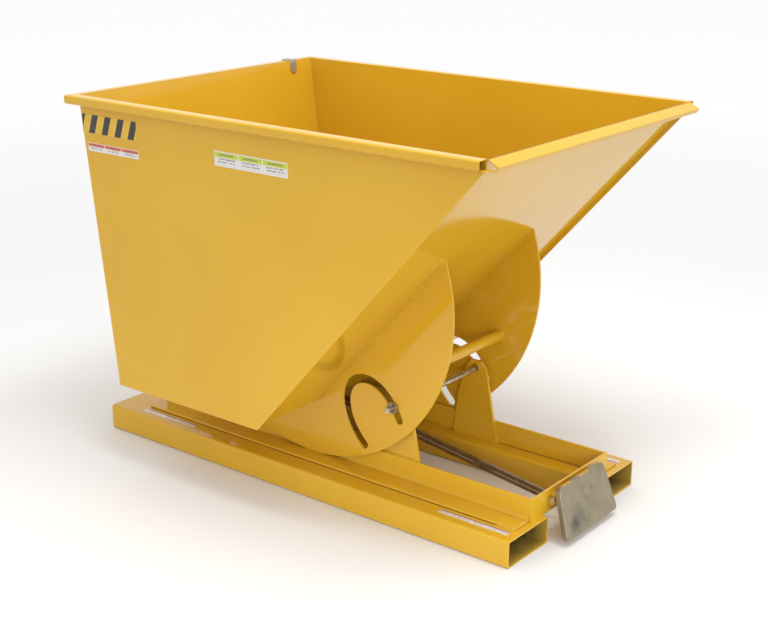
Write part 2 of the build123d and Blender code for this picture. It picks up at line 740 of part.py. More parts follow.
with BuildPart() as latch_spring:
    with BuildLine() as coil:
        Helix(
            SPRING_PITCH,
            SPRING_LENGTH,
            SPRING_RADIUS,
            center=(from_rear(LATCH_X), -SPRING_LENGTH / 2, LATCH_Z),
            direction=(0, 1, 0),
        )
    with BuildSketch(Plane(origin=coil.line @ 0, z_dir=coil.line % 0)):
        Circle(SPRING_WIRE)
    sweep(path=coil.line)
save(latch_spring, "latch_spring")

# The nose of each hook lies over the keeper bar; the spine stands behind the bar.
NOSE_TIP = KEEPER_X + NOSE_REACH
NOSE_BOTTOM = KEEPER_Z + KEEPER_RADIUS + NOSE_GAP
NOSE_TOP = NOSE_BOTTOM + NOSE_DEPTH
SPINE_REAR = LATCH_X - LATCH_EYE
SPINE_FRONT = KEEPER_X - KEEPER_RADIUS - SPINE_GAP

with BuildPart() as latch_hooks:
    for offset in (LINK_INNER_Y, -LINK_INNER_Y - LINK_PLATE):
        with BuildSketch(Plane.XZ.offset(offset)):
            with Locations(at(latch_pivot)):
                Circle(LATCH_EYE)
            with BuildLine():
                Polyline(
                    at((SPINE_REAR, LATCH_Z)),
                    at((LATCH_X + LATCH_EYE, LATCH_Z)),
                    at((LATCH_X + LATCH_EYE, BAR_REAR[1] + NECK_LOW)),
                    at((SPINE_FRONT, BAR_REAR[1] + NECK_HIGH)),
                    at((SPINE_FRONT, NOSE_BOTTOM)),
                    at((NOSE_TIP, NOSE_BOTTOM)),
                    at((NOSE_TIP, NOSE_BOTTOM + NOSE_LIP)),
                    at((NOSE_TIP - NOSE_BEVEL, NOSE_TOP)),
                    at((SPINE_REAR + SPINE_BEVEL, NOSE_TOP)),
                    at((SPINE_REAR, NOSE_BOTTOM)),
                    close=True,
                )
            make_face()
            with Locations(at(latch_pivot)):
                Circle(LATCH_BOLT_RADIUS + SHAFT_CLEARANCE, mode=Mode.SUBTRACT)
            with Locations(at(BAR_REAR)):
                Circle(BAR_PIN_RADIUS + SHAFT_CLEARANCE, mode=Mode.SUBTRACT)
        extrude(amount=LINK_PLATE)
save(latch_hooks, "latch_hooks")

with BuildPart() as latch_pin:
    with BuildSketch(Plane.XZ.offset(-BAR_PIN_HALF)):
        with Locations(at(BAR_REAR)):
            Circle(BAR_PIN_RADIUS)
    extrude(amount=2 * BAR_PIN_HALF)
save(latch_pin, "latch_pin")

keeper = (KEEPER_X, KEEPER_Z)

with BuildPart() as keeper_bar:
    with BuildSketch(Plane.XZ.offset(-KEEPER_HALF)):
        with Locations(at(keeper)):
            Circle(KEEPER_RADIUS)
    extrude(amount=2 * KEEPER_HALF)
save(keeper_bar, "keeper_bar")

with BuildPart() as keeper_brackets:
    for offset in (KEEPER_BRACKET_Y, -KEEPER_BRACKET_Y - KEEPER_BRACKET_THICKNESS):
        with BuildSketch(Plane.XZ.offset(offset)):
            with Locations(at((KEEPER_X, (KEEPER_Z + BIN_BOTTOM) / 2))):
                Rectangle(2 * KEEPER_BRACKET_HALF, BIN_BOTTOM - KEEPER_Z)
            with Locations(at(keeper)):
                Circle(KEEPER_BRACKET_HALF)
                Circle(KEEPER_RADIUS + SHAFT_CLEARANCE, mode=Mode.SUBTRACT)
        extrude(amount=KEEPER_BRACKET_THICKNESS)
save(keeper_brackets, "keeper_brackets")

# ---------------------------------------------------------------- cable hook on the rear rim

HOOK_TOP = BIN_TOP + HOOK_SHEET
hook_inner_top = BIN_REAR_HIGH + SHEET / cos(BACK_LEAN)
hook_inner_low = hook_inner_top + HOOK_TONGUE * tan(BACK_LEAN)

with BuildPart() as cable_hook:
    with BuildSketch(Plane.XZ.offset(-HOOK_Y - HOOK_WIDTH / 2)):
        with BuildLine():
            Polyline(
                at((hook_inner_low, BIN_TOP - HOOK_TONGUE)),
                at((hook_inner_top, BIN_TOP)),
                at((RIM_REAR, BIN_TOP)),
                at((RIM_REAR, BIN_TOP - HOOK_TAIL)),
                at((RIM_REAR - HOOK_SHEET, BIN_TOP - HOOK_TAIL)),
                at((RIM_REAR - HOOK_SHEET, HOOK_TOP)),
                at((hook_inner_top + HOOK_SHEET, HOOK_TOP)),
                at((hook_inner_low + HOOK_SHEET, BIN_TOP - HOOK_TONGUE)),
                close=True,
            )
        make_face()
    extrude(amount=HOOK_WIDTH)
    fillet(cable_hook.edges().filter_by(Axis.X).group_by(Axis.Z)[0], HOOK_TIP_RADIUS)
save(cable_hook, "cable_hook")

# ---------------------------------------------------------------- labels

# Each side label is a rectangle on the bin's side: rear edge, front edge, bottom, top.
SIDE_LABELS = {
    "hazard_labels": (143.0, 358.0, 976.0, 1027.0),
    "lift_labels": (162.0, 364.0, 926.0, 949.0),
    "caution_labels": (650.0, 901.0, 950.0, 989.0),
}

for name, (rear, front, bottom, top) in SIDE_LABELS.items():
    with BuildPart() as side_label:
        for offset in (BIN_HALF_WIDTH, -BIN_HALF_WIDTH - LABEL_THICKNESS):
            with BuildSketch(Plane.XZ.offset(offset)):
                with Locations(at(((rear + front) / 2, (bottom + top) / 2))):
                    Rectangle(front - rear, top - bottom)
            extrude(amount=LABEL_THICKNESS)
    save(side_label, name)

TUBE_LABEL_LENGTH = 216.0
TUBE_LABEL_WIDTH = 20.0
TUBE_LABEL_Y = 282.0
TUBE_LABEL_CENTRES = (220.0, 1340.0)

with BuildPart() as tube_labels:
    with BuildSketch(Plane.XY.offset(TUBE_HEIGHT)):
        for centre in TUBE_LABEL_CENTRES:
            with Locations((from_rear(centre), -TUBE_LABEL_Y), (from_rear(centre), TUBE_LABEL_Y)):
                Rectangle(TUBE_LABEL_LENGTH, TUBE_LABEL_WIDTH)
    extrude(amount=LABEL_THICKNESS)
save(tube_labels, "tube_labels")

# ---------------------------------------------------------------- rolling key

with BuildPart() as rolling_key:
    with BuildSketch(Plane.XY.offset(TRACK_TOP + CLEARANCE)):
        with Locations((from_rear(ROCKER_CENTRE), -KEY_Y), (from_rear(ROCKER_CENTRE), KEY_Y)):
            Rectangle(KEY_SIZE, KEY_SIZE)
    extrude(amount=KEY_SIZE)
save(rolling_key, "rolling_key")
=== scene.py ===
"""Looks of a self-dumping forklift hopper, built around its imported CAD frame. Lengths are in metres."""

import json
import math
import random

import bmesh
import bpy
from mathutils import Matrix, Vector

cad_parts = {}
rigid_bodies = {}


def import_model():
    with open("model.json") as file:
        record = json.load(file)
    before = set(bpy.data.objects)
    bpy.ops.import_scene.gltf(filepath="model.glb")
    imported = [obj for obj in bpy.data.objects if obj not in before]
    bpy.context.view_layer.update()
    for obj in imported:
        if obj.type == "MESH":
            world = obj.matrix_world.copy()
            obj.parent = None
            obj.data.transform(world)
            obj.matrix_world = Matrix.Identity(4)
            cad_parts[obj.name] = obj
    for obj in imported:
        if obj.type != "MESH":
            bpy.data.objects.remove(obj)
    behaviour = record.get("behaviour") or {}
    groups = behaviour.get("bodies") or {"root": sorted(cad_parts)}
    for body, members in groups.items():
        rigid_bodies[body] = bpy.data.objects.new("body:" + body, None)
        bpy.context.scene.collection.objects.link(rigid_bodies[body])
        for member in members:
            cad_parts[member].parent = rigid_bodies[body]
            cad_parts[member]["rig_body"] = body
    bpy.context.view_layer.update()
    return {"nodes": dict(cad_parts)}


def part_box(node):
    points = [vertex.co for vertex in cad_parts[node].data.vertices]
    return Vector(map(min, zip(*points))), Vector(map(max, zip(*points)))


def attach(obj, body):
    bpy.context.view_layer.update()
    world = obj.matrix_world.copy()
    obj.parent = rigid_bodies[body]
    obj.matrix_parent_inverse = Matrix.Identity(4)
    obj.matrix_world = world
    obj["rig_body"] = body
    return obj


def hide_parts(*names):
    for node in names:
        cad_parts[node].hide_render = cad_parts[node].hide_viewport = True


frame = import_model()
nodes = frame["nodes"]
scene = bpy.context.scene

NEAR, FAR = -1, 1
SIDES = {"right": NEAR, "left": FAR}

# ---------------------------------------------------------------- camera

CAMERA_PLACE = (2.3933, -2.9873, 1.7060)
AZIMUTH = math.radians(38.036)
ELEVATION = math.radians(18.111)
ROLL = math.radians(0.289)
LENS = 65.54
SENSOR = 36.0


def make_camera():
    data = bpy.data.cameras.new("camera")
    data.lens = LENS
    data.sensor_width = SENSOR
    data.clip_end = 200.0
    camera = bpy.data.objects.new("camera", data)
    scene.collection.objects.link(camera)
    back = Vector(
        (
            math.sin(AZIMUTH) * math.cos(ELEVATION),
            -math.cos(AZIMUTH) * math.cos(ELEVATION),
            math.sin(ELEVATION),
        )
    )
    right = Vector((math.cos(AZIMUTH), math.sin(AZIMUTH), 0))
    up = back.cross(right)
    rolled_right = right * math.cos(ROLL) + up * math.sin(ROLL)
    rolled_up = up * math.cos(ROLL) - right * math.sin(ROLL)
    turn = Matrix((rolled_right, rolled_up, back)).transposed()
    camera.matrix_world = Matrix.Translation(CAMERA_PLACE) @ turn.to_4x4()
    scene.camera = camera


make_camera()

# ---------------------------------------------------------------- studio

WORLD_LIGHT = 0.98
FLOOR_SIZE = 60.0
FLOOR_DROP = 0.0004
# Each light: place, the point it faces, side lengths, power in watts, spread in degrees.
LIGHTS = {
    "key": ((-1.2, -4.6, 3.8), (0.0, 0.0, 0.6), (3.6, 2.6), 1.0, 180),
    "front": ((5.0, -1.4, 2.2), (0.2, 0.0, 0.3), (3.0, 2.4), 18.0, 180),
    "top": ((0.9, -0.40, 3.5), (-0.1, 0.3, 0.7), (1.8, 0.8), 58.0, 180),
    "low": ((2.1, -2.1, 0.85), (0.30, 0.0, 0.12), (1.4, 0.7), 1.6, 42),
}


def make_world():
    world = bpy.data.worlds.new("studio")
    scene.world = world
    world.use_nodes = True
    background = world.node_tree.nodes["Background"]
    background.inputs["Color"].default_value = (1.0, 1.0, 1.0, 1.0)
    background.inputs["Strength"].default_value = WORLD_LIGHT


def make_light(name, place, aim, size, power, spread):
    data = bpy.data.lights.new(name, "AREA")
    data.shape = "RECTANGLE"
    data.size, data.size_y = size
    data.energy = power
    data.spread = math.radians(spread)
    lamp = bpy.data.objects.new(name, data)
    scene.collection.objects.link(lamp)
    lamp.location = place
    lamp.rotation_euler = (Vector(aim) - Vector(place)).to_track_quat("-Z", "Y").to_euler()


def make_floor():
    half = FLOOR_SIZE / 2
    mesh = bpy.data.meshes.new("floor")
    corners = [(-half, -half), (half, -half), (half, half), (-half, half)]
    mesh.from_pydata([(x, y, -FLOOR_DROP) for x, y in corners], [], [(0, 1, 2, 3)])
    floor = bpy.data.objects.new("floor", mesh)
    scene.collection.objects.link(floor)
    return floor


make_world()
for name, light in LIGHTS.items():
    make_light(name, *light)
floor = make_floor()
scene.view_settings.view_transform = "Standard"

# ---------------------------------------------------------------- shader helpers


class Shader:
    """A principled material whose node links are written as short calls."""

    def __init__(self, name, **sockets):
        self.material = bpy.data.materials.new(name)
        self.material.use_nodes = True
        self.tree = self.material.node_tree
        self.surface = self.tree.nodes["Principled BSDF"]
        for socket, value in sockets.items():
            self.surface.inputs[socket.replace("_", " ")].default_value = value
        self.place = self.node("ShaderNodeTexCoord").outputs["Object"]

    def node(self, kind, **settings):
        made = self.tree.nodes.new(kind)
        for key, value in settings.items():
            setattr(made, key, value)
        return made

    def feed(self, socket, value):
        if isinstance(value, bpy.types.NodeSocket):
            self.tree.links.new(value, socket)
        else:
            socket.default_value = value

    def maths(self, operation, a, b=0.0):
        made = self.node("ShaderNodeMath", operation=operation)
        self.feed(made.inputs[0], a)
        self.feed(made.inputs[1], b)
        return made.outputs[0]

    def noise(self, scale, detail=3.0, stretch=(1, 1, 1), rough=0.5):
        moved = self.node("ShaderNodeMapping")
        moved.inputs["Scale"].default_value = stretch
        self.feed(moved.inputs["Vector"], self.place)
        made = self.node("ShaderNodeTexNoise")
        self.feed(made.inputs["Vector"], moved.outputs[0])
        made.inputs["Scale"].default_value = scale
        made.inputs["Detail"].default_value = detail
        made.inputs["Roughness"].default_value = rough
        return made.outputs["Fac"]

    def span(self, value, low, high, to_low=0.0, to_high=1.0):
        made = self.node("ShaderNodeMapRange")
        made.clamp = True
        for index, item in enumerate((value, low, high, to_low, to_high)):
            self.feed(made.inputs[index], item)
        return made.outputs[0]

    def mix(self, share, a, b):
        made = self.node("ShaderNodeMix", data_type="RGBA")
        self.feed(made.inputs[0], share)
        for index, colour in ((6, a), (7, b)):
            if isinstance(colour, tuple):
                colour = (*colour, 1.0)
            self.feed(made.inputs[index], colour)
        return made.outputs[2]

    def axes(self):
        made = self.node("ShaderNodeSeparateXYZ")
        self.feed(made.inputs[0], self.place)
        return made.outputs[0], made.outputs[1], made.outputs[2]

    def facing(self):
        """X, Y and Z of the direction that the surface faces."""
        made = self.node("ShaderNodeSeparateXYZ")
        self.feed(made.inputs[0], self.node("ShaderNodeNewGeometry").outputs["Normal"])
        return made.outputs[0], made.outputs[1], made.outputs[2]

    def product(self, first, *others):
        for other in others:
            first = self.maths("MULTIPLY", first, other)
        return first

    def inside(self, value, low, high):
        """1 between low and high, 0 outside."""
        above = self.maths("GREATER_THAN", value, low)
        below = self.maths("LESS_THAN", value, high)
        return self.product(above, below)

    def bump(self, *layers):
        """Each layer is (height, distance in metres, strength); they are stacked."""
        normal = None
        for height, distance, strength in layers:
            made = self.node("ShaderNodeBump")
            made.inputs["Strength"].default_value = strength
            made.inputs["Distance"].default_value = distance
            self.feed(made.inputs["Height"], height)
            if normal is not None:
                self.feed(made.inputs["Normal"], normal)
            normal = made.outputs[0]
        self.feed(self.surface.inputs["Normal"], normal)

    def colour(self, value):
        self.feed(self.surface.inputs["Base Color"], value)

    def roughness(self, value):
        self.feed(self.surface.inputs["Roughness"], value)


# ---------------------------------------------------------------- materials

PAINT_WARM = (0.622, 0.358, 0.018)
PAINT_LIGHT = (0.656, 0.386, 0.023)
PAINT_DUST = (0.700, 0.520, 0.230)
PAINT_GRIME = (0.300, 0.150, 0.030)


def paint_colour(shader):
    """Powder coat: broad drift in shade, fine speckle, and a little dust that lies on level faces."""
    drift = shader.span(shader.noise(2.2, 4.0), 0.35, 0.65)
    base = shader.mix(drift, PAINT_WARM, PAINT_LIGHT)
    speckle = shader.span(shader.noise(650.0, 2.0), 0.64, 0.78, 0.0, 0.16)
    base = shader.mix(speckle, base, PAINT_GRIME)
    level = shader.span(shader.facing()[2], 0.75, 1.0)
    patches = shader.span(shader.noise(9.0, 6.0, rough=0.62), 0.48, 0.74, 0.0, 0.07)
    return shader.mix(shader.product(level, patches), base, PAINT_DUST)


def paint_relief(shader):
    """Orange peel over the slow waviness of rolled sheet."""
    peel = (shader.noise(260.0, 2.0), 0.00025, 0.06)
    wave = (shader.noise(3.4, 1.0), 0.0040, 0.020)
    shader.bump(wave, peel)
    shader.roughness(shader.span(shader.noise(14.0, 4.0), 0.3, 0.7, 0.06, 0.11))


def make_paint():
    shader = Shader("yellow_paint", IOR=1.46)
    shader.colour(paint_colour(shader))
    paint_relief(shader)
    return shader.material


def make_weld_paint():
    """Paint over a weld: the same coat, with spatter and dark patches."""
    shader = Shader("weld_paint", IOR=1.5)
    dark = shader.span(shader.noise(90.0, 4.0), 0.45, 0.75, 0.0, 0.45)
    shader.colour(shader.mix(dark, paint_colour(shader), PAINT_GRIME))
    shader.bump((shader.noise(420.0, 3.0), 0.0006, 0.35))
    shader.roughness(shader.span(shader.noise(60.0), 0.3, 0.7, 0.2, 0.38))
    return shader.material


# Colours of the painted shadow in the gaps: dark, with browner spots.
SEAM_SHADE_DARK = (0.075, 0.032, 0.006)
SEAM_SHADE_BROWN = (0.150, 0.070, 0.010)


def make_seam_shade():
    """Painted shadow: a dark line where two pieces meet without a weld, in place of the shade in the gap.
    """
    shader = Shader("seam_shadow", IOR=1.4)
    spots = shader.span(shader.noise(120.0, 4.0), 0.3, 0.7)
    shader.colour(shader.mix(spots, SEAM_SHADE_DARK, SEAM_SHADE_BROWN))
    shader.bump((shader.noise(300.0, 2.0), 0.0002, 0.3))
    shader.roughness(shader.span(shader.noise(80.0), 0.3, 0.7, 0.6, 0.85))
    return shader.material


# The band under the rockers, a little wider than they are, and how softly its edges end.
ROCKER_PATH = (0.2025, 0.2118)
PATH_EDGE = 0.0012
TRACK_STEEL = (0.240, 0.190, 0.110)


def make_track_paint():
    """Track paint, scuffed to dull steel in patches under the rockers' path."""
    shader = Shader("track_paint", IOR=1.46)
    across = shader.maths("ABSOLUTE", shader.axes()[1])
    low = shader.span(across, ROCKER_PATH[0], ROCKER_PATH[0] + PATH_EDGE)
    high = shader.span(across, ROCKER_PATH[1] - PATH_EDGE, ROCKER_PATH[1], 1.0, 0.0)
    streaks = shader.noise(34.0, 6.0, stretch=(0.25, 1.0, 1.0), rough=0.65)
    rub = shader.span(streaks, 0.50, 0.62, 0.0, 0.55)
    shader.colour(shader.mix(shader.product(low, high, rub), paint_colour(shader), TRACK_STEEL))
    paint_relief(shader)
    return shader.material


# How far the overspray reaches in from each end.
TUBE_END = 0.10
INSIDE_STEEL = (0.040, 0.036, 0.022)
INSIDE_SPRAY = (0.470, 0.300, 0.040)


def make_tube_inside():
    """Bare mill steel inside the fork tubes, with overspray that fades away from each open end."""
    shader = Shader("tube_inside", Metallic=0.0, IOR=1.5)
    low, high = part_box("fork_tube_right")
    x_axis = shader.axes()[0]
    from_front = shader.maths("SUBTRACT", high.x, x_axis)
    from_back = shader.maths("SUBTRACT", x_axis, low.x)
    nearest = shader.maths("MINIMUM", from_front, from_back)
    ragged = shader.product(shader.span(shader.noise(28.0, 4.0), 0.3, 0.7, 0.6, 1.4), TUBE_END)
    share = shader.span(nearest, 0.0, ragged, 0.95, 0.0)
    shader.colour(shader.mix(share, INSIDE_STEEL, INSIDE_SPRAY))
    shader.bump((shader.noise(180.0, 4.0), 0.0004, 0.3))
    shader.roughness(shader.span(shader.noise(40.0), 0.3, 0.7, 0.45, 0.7))
    return shader.material


def zinc_layers(shader):
    """Cloudy passivation, and long drawing marks that also stand in relief."""
    cloud = shader.span(shader.noise(38.0, 5.0, rough=0.6), 0.34, 0.68)
    grain = shader.noise(210.0, 3.0, stretch=(0.06, 1.0, 1.0))
    shader.bump((grain, 0.0003, 0.22))
    return cloud, grain


def make_zinc(name, light, dark, rough_low, rough_high, metal=0.9):
    shader = Shader(name, Metallic=metal, IOR=1.5)
    cloud, grain = zinc_layers(shader)
    tint = shader.mix(shader.span(grain, 0.35, 0.7, 0.0, 0.5), light, dark)
    shader.colour(shader.mix(cloud, tint, dark))
    shader.roughness(shader.span(cloud, 0.0, 1.0, rough_low, rough_high))
    return shader.material


# X and Z of the release bar's two pins.
BAR_FRONT = (0.72375, 0.046)
BAR_REAR = (-0.33625, 0.197)
BAR_ZINC = (0.30, 0.235, 0.130)
BAR_ZINC_DARK = (0.150, 0.112, 0.055)
# Half width and colour of the painted highlight line along the bar.
HIGHLIGHT_HALF = 0.0022
PAINTED_HIGHLIGHT = (0.66, 0.61, 0.48)


def make_release_bar():
    """Olive zinc with a painted highlight: a bright line along the middle of the bar's depth."""
    shader = Shader("bar_zinc", Metallic=0.72, IOR=1.5)
    x_axis, _, z_axis = shader.axes()
    slope = (BAR_REAR[1] - BAR_FRONT[1]) / (BAR_REAR[0] - BAR_FRONT[0])
    height_at_zero = BAR_FRONT[1] - BAR_FRONT[0] * slope
    middle = shader.maths("ADD", shader.product(x_axis, slope), height_at_zero)
    off = shader.maths("ABSOLUTE", shader.maths("SUBTRACT", z_axis, middle))
    cloud, _ = zinc_layers(shader)
    colour = shader.mix(cloud, BAR_ZINC, BAR_ZINC_DARK)
    # Painted highlight: a bright line, ragged at its edges, along the bar's middle.
    highlight_band = shader.span(off, HIGHLIGHT_HALF * 0.5, HIGHLIGHT_HALF, 0.9, 0.0)
    ragged = shader.span(shader.noise(50.0, 4.0, stretch=(0.15, 1.0, 1.0)), 0.28, 0.45)
    shader.colour(shader.mix(shader.product(highlight_band, ragged), colour, PAINTED_HIGHLIGHT))
    shader.roughness(shader.span(cloud, 0.0, 1.0, 0.26, 0.42))
    return shader.material


# Each dark mark: its middle, its radius and its strength.
SMUDGES = [
    ((0.7590, -0.0780, 0.050), 0.030, 0.85),
    ((0.7560, -0.0440, 0.060), 0.040, 0.50),
    ((0.7400, 0.030, 0.112), 0.012, 0.35),
    ((0.7450, -0.010, 0.098), 0.010, 0.30),
]
# Spans in Y of the yellow left on the top edge.
PAINT_LEFT = [(-0.092, -0.048), (-0.005, 0.044)]
PLATE_LIGHT = (0.305, 0.262, 0.172)
PLATE_DARK = (0.245, 0.211, 0.138)
PLATE_SPECK = (0.170, 0.155, 0.115)
SMUDGE_DARK = (0.085, 0.082, 0.078)


def smudged(shader, colour):
    """The colour with dark ragged marks where loads have touched the plate."""
    warp = shader.span(shader.noise(45.0, 4.0), 0.25, 0.75, 0.55, 1.5)
    for place, radius, strength in SMUDGES:
        away = shader.node("ShaderNodeVectorMath", operation="DISTANCE")
        shader.feed(away.inputs[0], shader.place)
        away.inputs[1].default_value = place
        edge = shader.product(away.outputs["Value"], warp)
        share = shader.span(edge, radius * 0.2, radius, strength, 0.0)
        colour = shader.mix(share, colour, SMUDGE_DARK)
    return colour


def part_painted(shader, colour):
    """The colour with yellow on the plate's back, and in patches along its top edge."""
    ahead, _, up = shader.facing()
    left_on = shader.span(ahead, -0.6, -0.8)
    for low, high in PAINT_LEFT:
        patch = shader.inside(shader.axes()[1], low, high)
        left_on = shader.maths("MAXIMUM", left_on, shader.product(patch, shader.span(up, 0.8, 0.9)))
    return shader.mix(left_on, colour, PAINT_WARM)


def make_bumper():
    """Mottled plated steel, smudged and partly painted."""
    shader = Shader("bare_plate", Metallic=0.55, IOR=1.5)
    cloud = shader.span(shader.noise(26.0, 6.0, rough=0.6), 0.32, 0.70)
    fine = shader.span(shader.noise(300.0, 3.0), 0.5, 0.75, 0.0, 0.22)
    colour = shader.mix(fine, shader.mix(cloud, PLATE_LIGHT, PLATE_DARK), PLATE_SPECK)
    shader.colour(part_painted(shader, smudged(shader, colour)))
    scratch = shader.noise(240.0, 4.0, stretch=(1.0, 1.0, 0.12))
    shader.bump((shader.noise(32.0, 5.0), 0.0010, 0.18), (scratch, 0.0003, 0.30))
    shader.roughness(shader.span(cloud, 0.0, 1.0, 0.36, 0.52))
    return shader.material


SPRING_BRIGHT = (0.20, 0.20, 0.21)
SPRING_DARK = (0.09, 0.085, 0.08)


def make_spring_steel():
    shader = Shader("spring_steel", Metallic=1.0)
    spots = shader.span(shader.noise(160.0, 4.0), 0.35, 0.7)
    shader.colour(shader.mix(spots, SPRING_BRIGHT, SPRING_DARK))
    shader.bump((shader.noise(500.0, 2.0), 0.0002, 0.3))
    shader.roughness(shader.span(shader.noise(70.0), 0.3, 0.7, 0.28, 0.45))
    return shader.material


FILM_WHITE = (0.70, 0.685, 0.66)
FILM_SOILED = (0.58, 0.56, 0.54)
PRINT_GREY = (0.115, 0.115, 0.13)


def film(name):
    """Start of a label: gloss film with faint handling marks."""
    shader = Shader(name, IOR=1.5)
    shader.bump((shader.noise(120.0, 3.0), 0.0002, 0.25))
    shader.roughness(shader.span(shader.noise(30.0, 4.0), 0.3, 0.7, 0.16, 0.30))
    return shader


# Hazard bars: distance between them, share of it that is black, lean, and the front bar's place.
BAR_PITCH = 0.052
BAR_SHARE = 0.47
BAR_LEAN = 0.34
LAST_BAR = 0.014
HAZARD_YELLOW = (0.72, 0.45, 0.030)
HAZARD_FADED = (0.66, 0.40, 0.026)
HAZARD_INK = (0.022, 0.022, 0.020)
HAZARD_WORN = (0.040, 0.038, 0.032)


def make_hazard():
    """Slanted black bars on yellow film, counted back from the label's front end."""
    shader = film("hazard_film")
    low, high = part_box("hazard_labels")
    x_axis, _, z_axis = shader.axes()
    height = shader.maths("SUBTRACT", z_axis, (low.z + high.z) / 2)
    slanted = shader.maths("SUBTRACT", x_axis, shader.product(height, BAR_LEAN))
    back = shader.maths("SUBTRACT", high.x - LAST_BAR + BAR_PITCH / 2, slanted)
    phase = shader.maths("FRACT", shader.maths("DIVIDE", back, BAR_PITCH))
    bar = shader.inside(phase, 0.5 - BAR_SHARE / 2, 0.5 + BAR_SHARE / 2)
    drift = shader.span(shader.noise(60.0, 4.0), 0.3, 0.7)
    ground = shader.mix(drift, HAZARD_YELLOW, HAZARD_FADED)
    ink = shader.mix(drift, HAZARD_INK, HAZARD_WORN)
    shader.colour(shader.mix(bar, ground, ink))
    return shader.material


LABEL_COLUMNS = 3.0
LABEL_ROWS = 5.0
BAND_TOP = 0.93


def printed_blocks(shader, column, v, top):
    """Rows of broken grey blocks in each column, up to a height, with no lettering."""
    row = shader.maths("FRACT", shader.product(v, LABEL_ROWS))
    breaks = shader.span(shader.noise(420.0, 1.0, stretch=(1.0, 1.0, 0.2)), 0.42, 0.48)
    within = shader.inside(column, 0.14, 0.86)
    return shader.product(within, shader.inside(row, 0.22, 0.74), shader.inside(v, 0.14, top), breaks)


def banded_label(name, node, band, band_low):
    """White film on the bin's side, with one colour band over columns of printed blocks."""
    shader = film(name)
    low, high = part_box(node)
    x_axis, _, z_axis = shader.axes()
    column = shader.maths("FRACT", shader.product(shader.span(x_axis, low.x, high.x), LABEL_COLUMNS))
    v = shader.span(z_axis, low.z, high.z)
    drift = shader.span(shader.noise(80.0, 4.0), 0.3, 0.7, 0.0, 0.25)
    blocks = printed_blocks(shader, column, v, band_low - 0.06)
    colour = shader.mix(drift, FILM_WHITE, FILM_SOILED)
    colour = shader.mix(shader.product(blocks, 0.75), colour, PRINT_GREY)
    strip = shader.product(shader.inside(v, band_low, BAND_TOP), shader.inside(column, 0.02, 0.98))
    heading = shader.product(shader.inside(v, band_low + 0.10, 0.84), shader.inside(column, 0.20, 0.80))
    band_colour = shader.mix(shader.product(heading, 0.55), band, PRINT_GREY)
    shader.colour(shader.mix(strip, colour, band_colour))
    return shader.material


TUBE_LABEL_WIDTH = 0.020
TUBE_LABEL_MIDDLE = 0.282
STRIP_RED = (0.270, 0.040, 0.050)
PRINT_MAUVE = (0.42, 0.30, 0.34)


def make_tube_label():
    """White film with a dark red strip along one edge and plain blocks beside it."""
    shader = film("tube_film")
    out = shader.maths("ABSOLUTE", shader.axes()[1])
    from_edge = shader.maths("SUBTRACT", out, TUBE_LABEL_MIDDLE - TUBE_LABEL_WIDTH / 2)
    off = shader.maths("DIVIDE", from_edge, TUBE_LABEL_WIDTH)
    blocks = shader.span(shader.noise(230.0, 1.0, stretch=(1.0, 0.4, 1.0)), 0.48, 0.54, 0.0, 0.55)
    inner = shader.inside(off, 0.34, 0.84)
    colour = shader.mix(shader.product(blocks, inner), FILM_WHITE, PRINT_MAUVE)
    shader.colour(shader.mix(shader.inside(off, 0.04, 0.26), colour, STRIP_RED))
    return shader.material


# The far colour is painted light: the floor turns to it with distance from the object.
FLOOR_NEAR = (0.83, 0.83, 0.83)
FLOOR_DRIFT = (0.81, 0.81, 0.81)
FLOOR_PAINTED_LIGHT = (0.99, 0.99, 0.99)
FLOOR_FADE = (2.6, 6.5)


def make_floor_material():
    """Pale floor, painted whiter away from the object as light where no lamp reaches."""
    shader = Shader("floor", Roughness=0.9)
    away = shader.node("ShaderNodeVectorMath", operation="LENGTH")
    shader.feed(away.inputs[0], shader.place)
    drift = shader.mix(shader.span(shader.noise(0.6, 3.0), 0.3, 0.7), FLOOR_NEAR, FLOOR_DRIFT)
    far = shader.span(away.outputs["Value"], *FLOOR_FADE)
    shader.colour(shader.mix(far, drift, FLOOR_PAINTED_LIGHT))
    return shader.material


PAINT = make_paint()
WELD_PAINT = make_weld_paint()
TRACK_PAINT = make_track_paint()
# Material of the painted shadow lines beside the tracks.
SEAM_SHADE = make_seam_shade()
TUBE_INSIDE = make_tube_inside()
ZINC = make_zinc("zinc_steel", (0.66, 0.65, 0.58), (0.36, 0.34, 0.25), 0.24, 0.44)
DULL_ZINC = make_zinc("dull_zinc", (0.42, 0.35, 0.22), (0.19, 0.15, 0.08), 0.28, 0.44, metal=0.75)
BUMPER = make_bumper()
SPRING = make_spring_steel()
floor.data.materials.append(make_floor_material())

LABEL_LOOKS = {
    "hazard_labels": make_hazard(),
    "lift_labels": banded_label("lift_film", "lift_labels", (0.62, 0.110, 0.035), 0.58),
    "caution_labels": banded_label("notice_film", "caution_labels", (0.50, 0.56, 0.030), 0.60),
    "tube_labels": make_tube_label(),
}

# ---------------------------------------------------------------- mesh helpers

FLAT_LIMIT = math.radians(0.6)
SHARP_LIMIT = math.radians(32.0)
MERGE_DISTANCE = 2e-6


def finish_mesh(bm, name, body, looks):
    mesh = bpy.data.meshes.new(name)
    bm.to_mesh(mesh)
    bm.free()
    for look in looks:
        mesh.materials.append(look)
    mesh.polygons.foreach_set("use_smooth", [True] * len(mesh.polygons))
    made = bpy.data.objects.new(name, mesh)
    scene.collection.objects.link(made)
    weighted = made.modifiers.new("normals", "WEIGHTED_NORMAL")
    weighted.keep_sharp = True
    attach(made, body)
    return made


def prism(bm, near, far):
    """A closed solid between two outlines, given as rings of vertices."""
    for k in range(len(near)):
        m = (k + 1) % len(near)
        bm.faces.new((near[k], near[m], far[m], far[k]))
    bm.faces.new(near)
    bm.faces.new(list(reversed(far)))


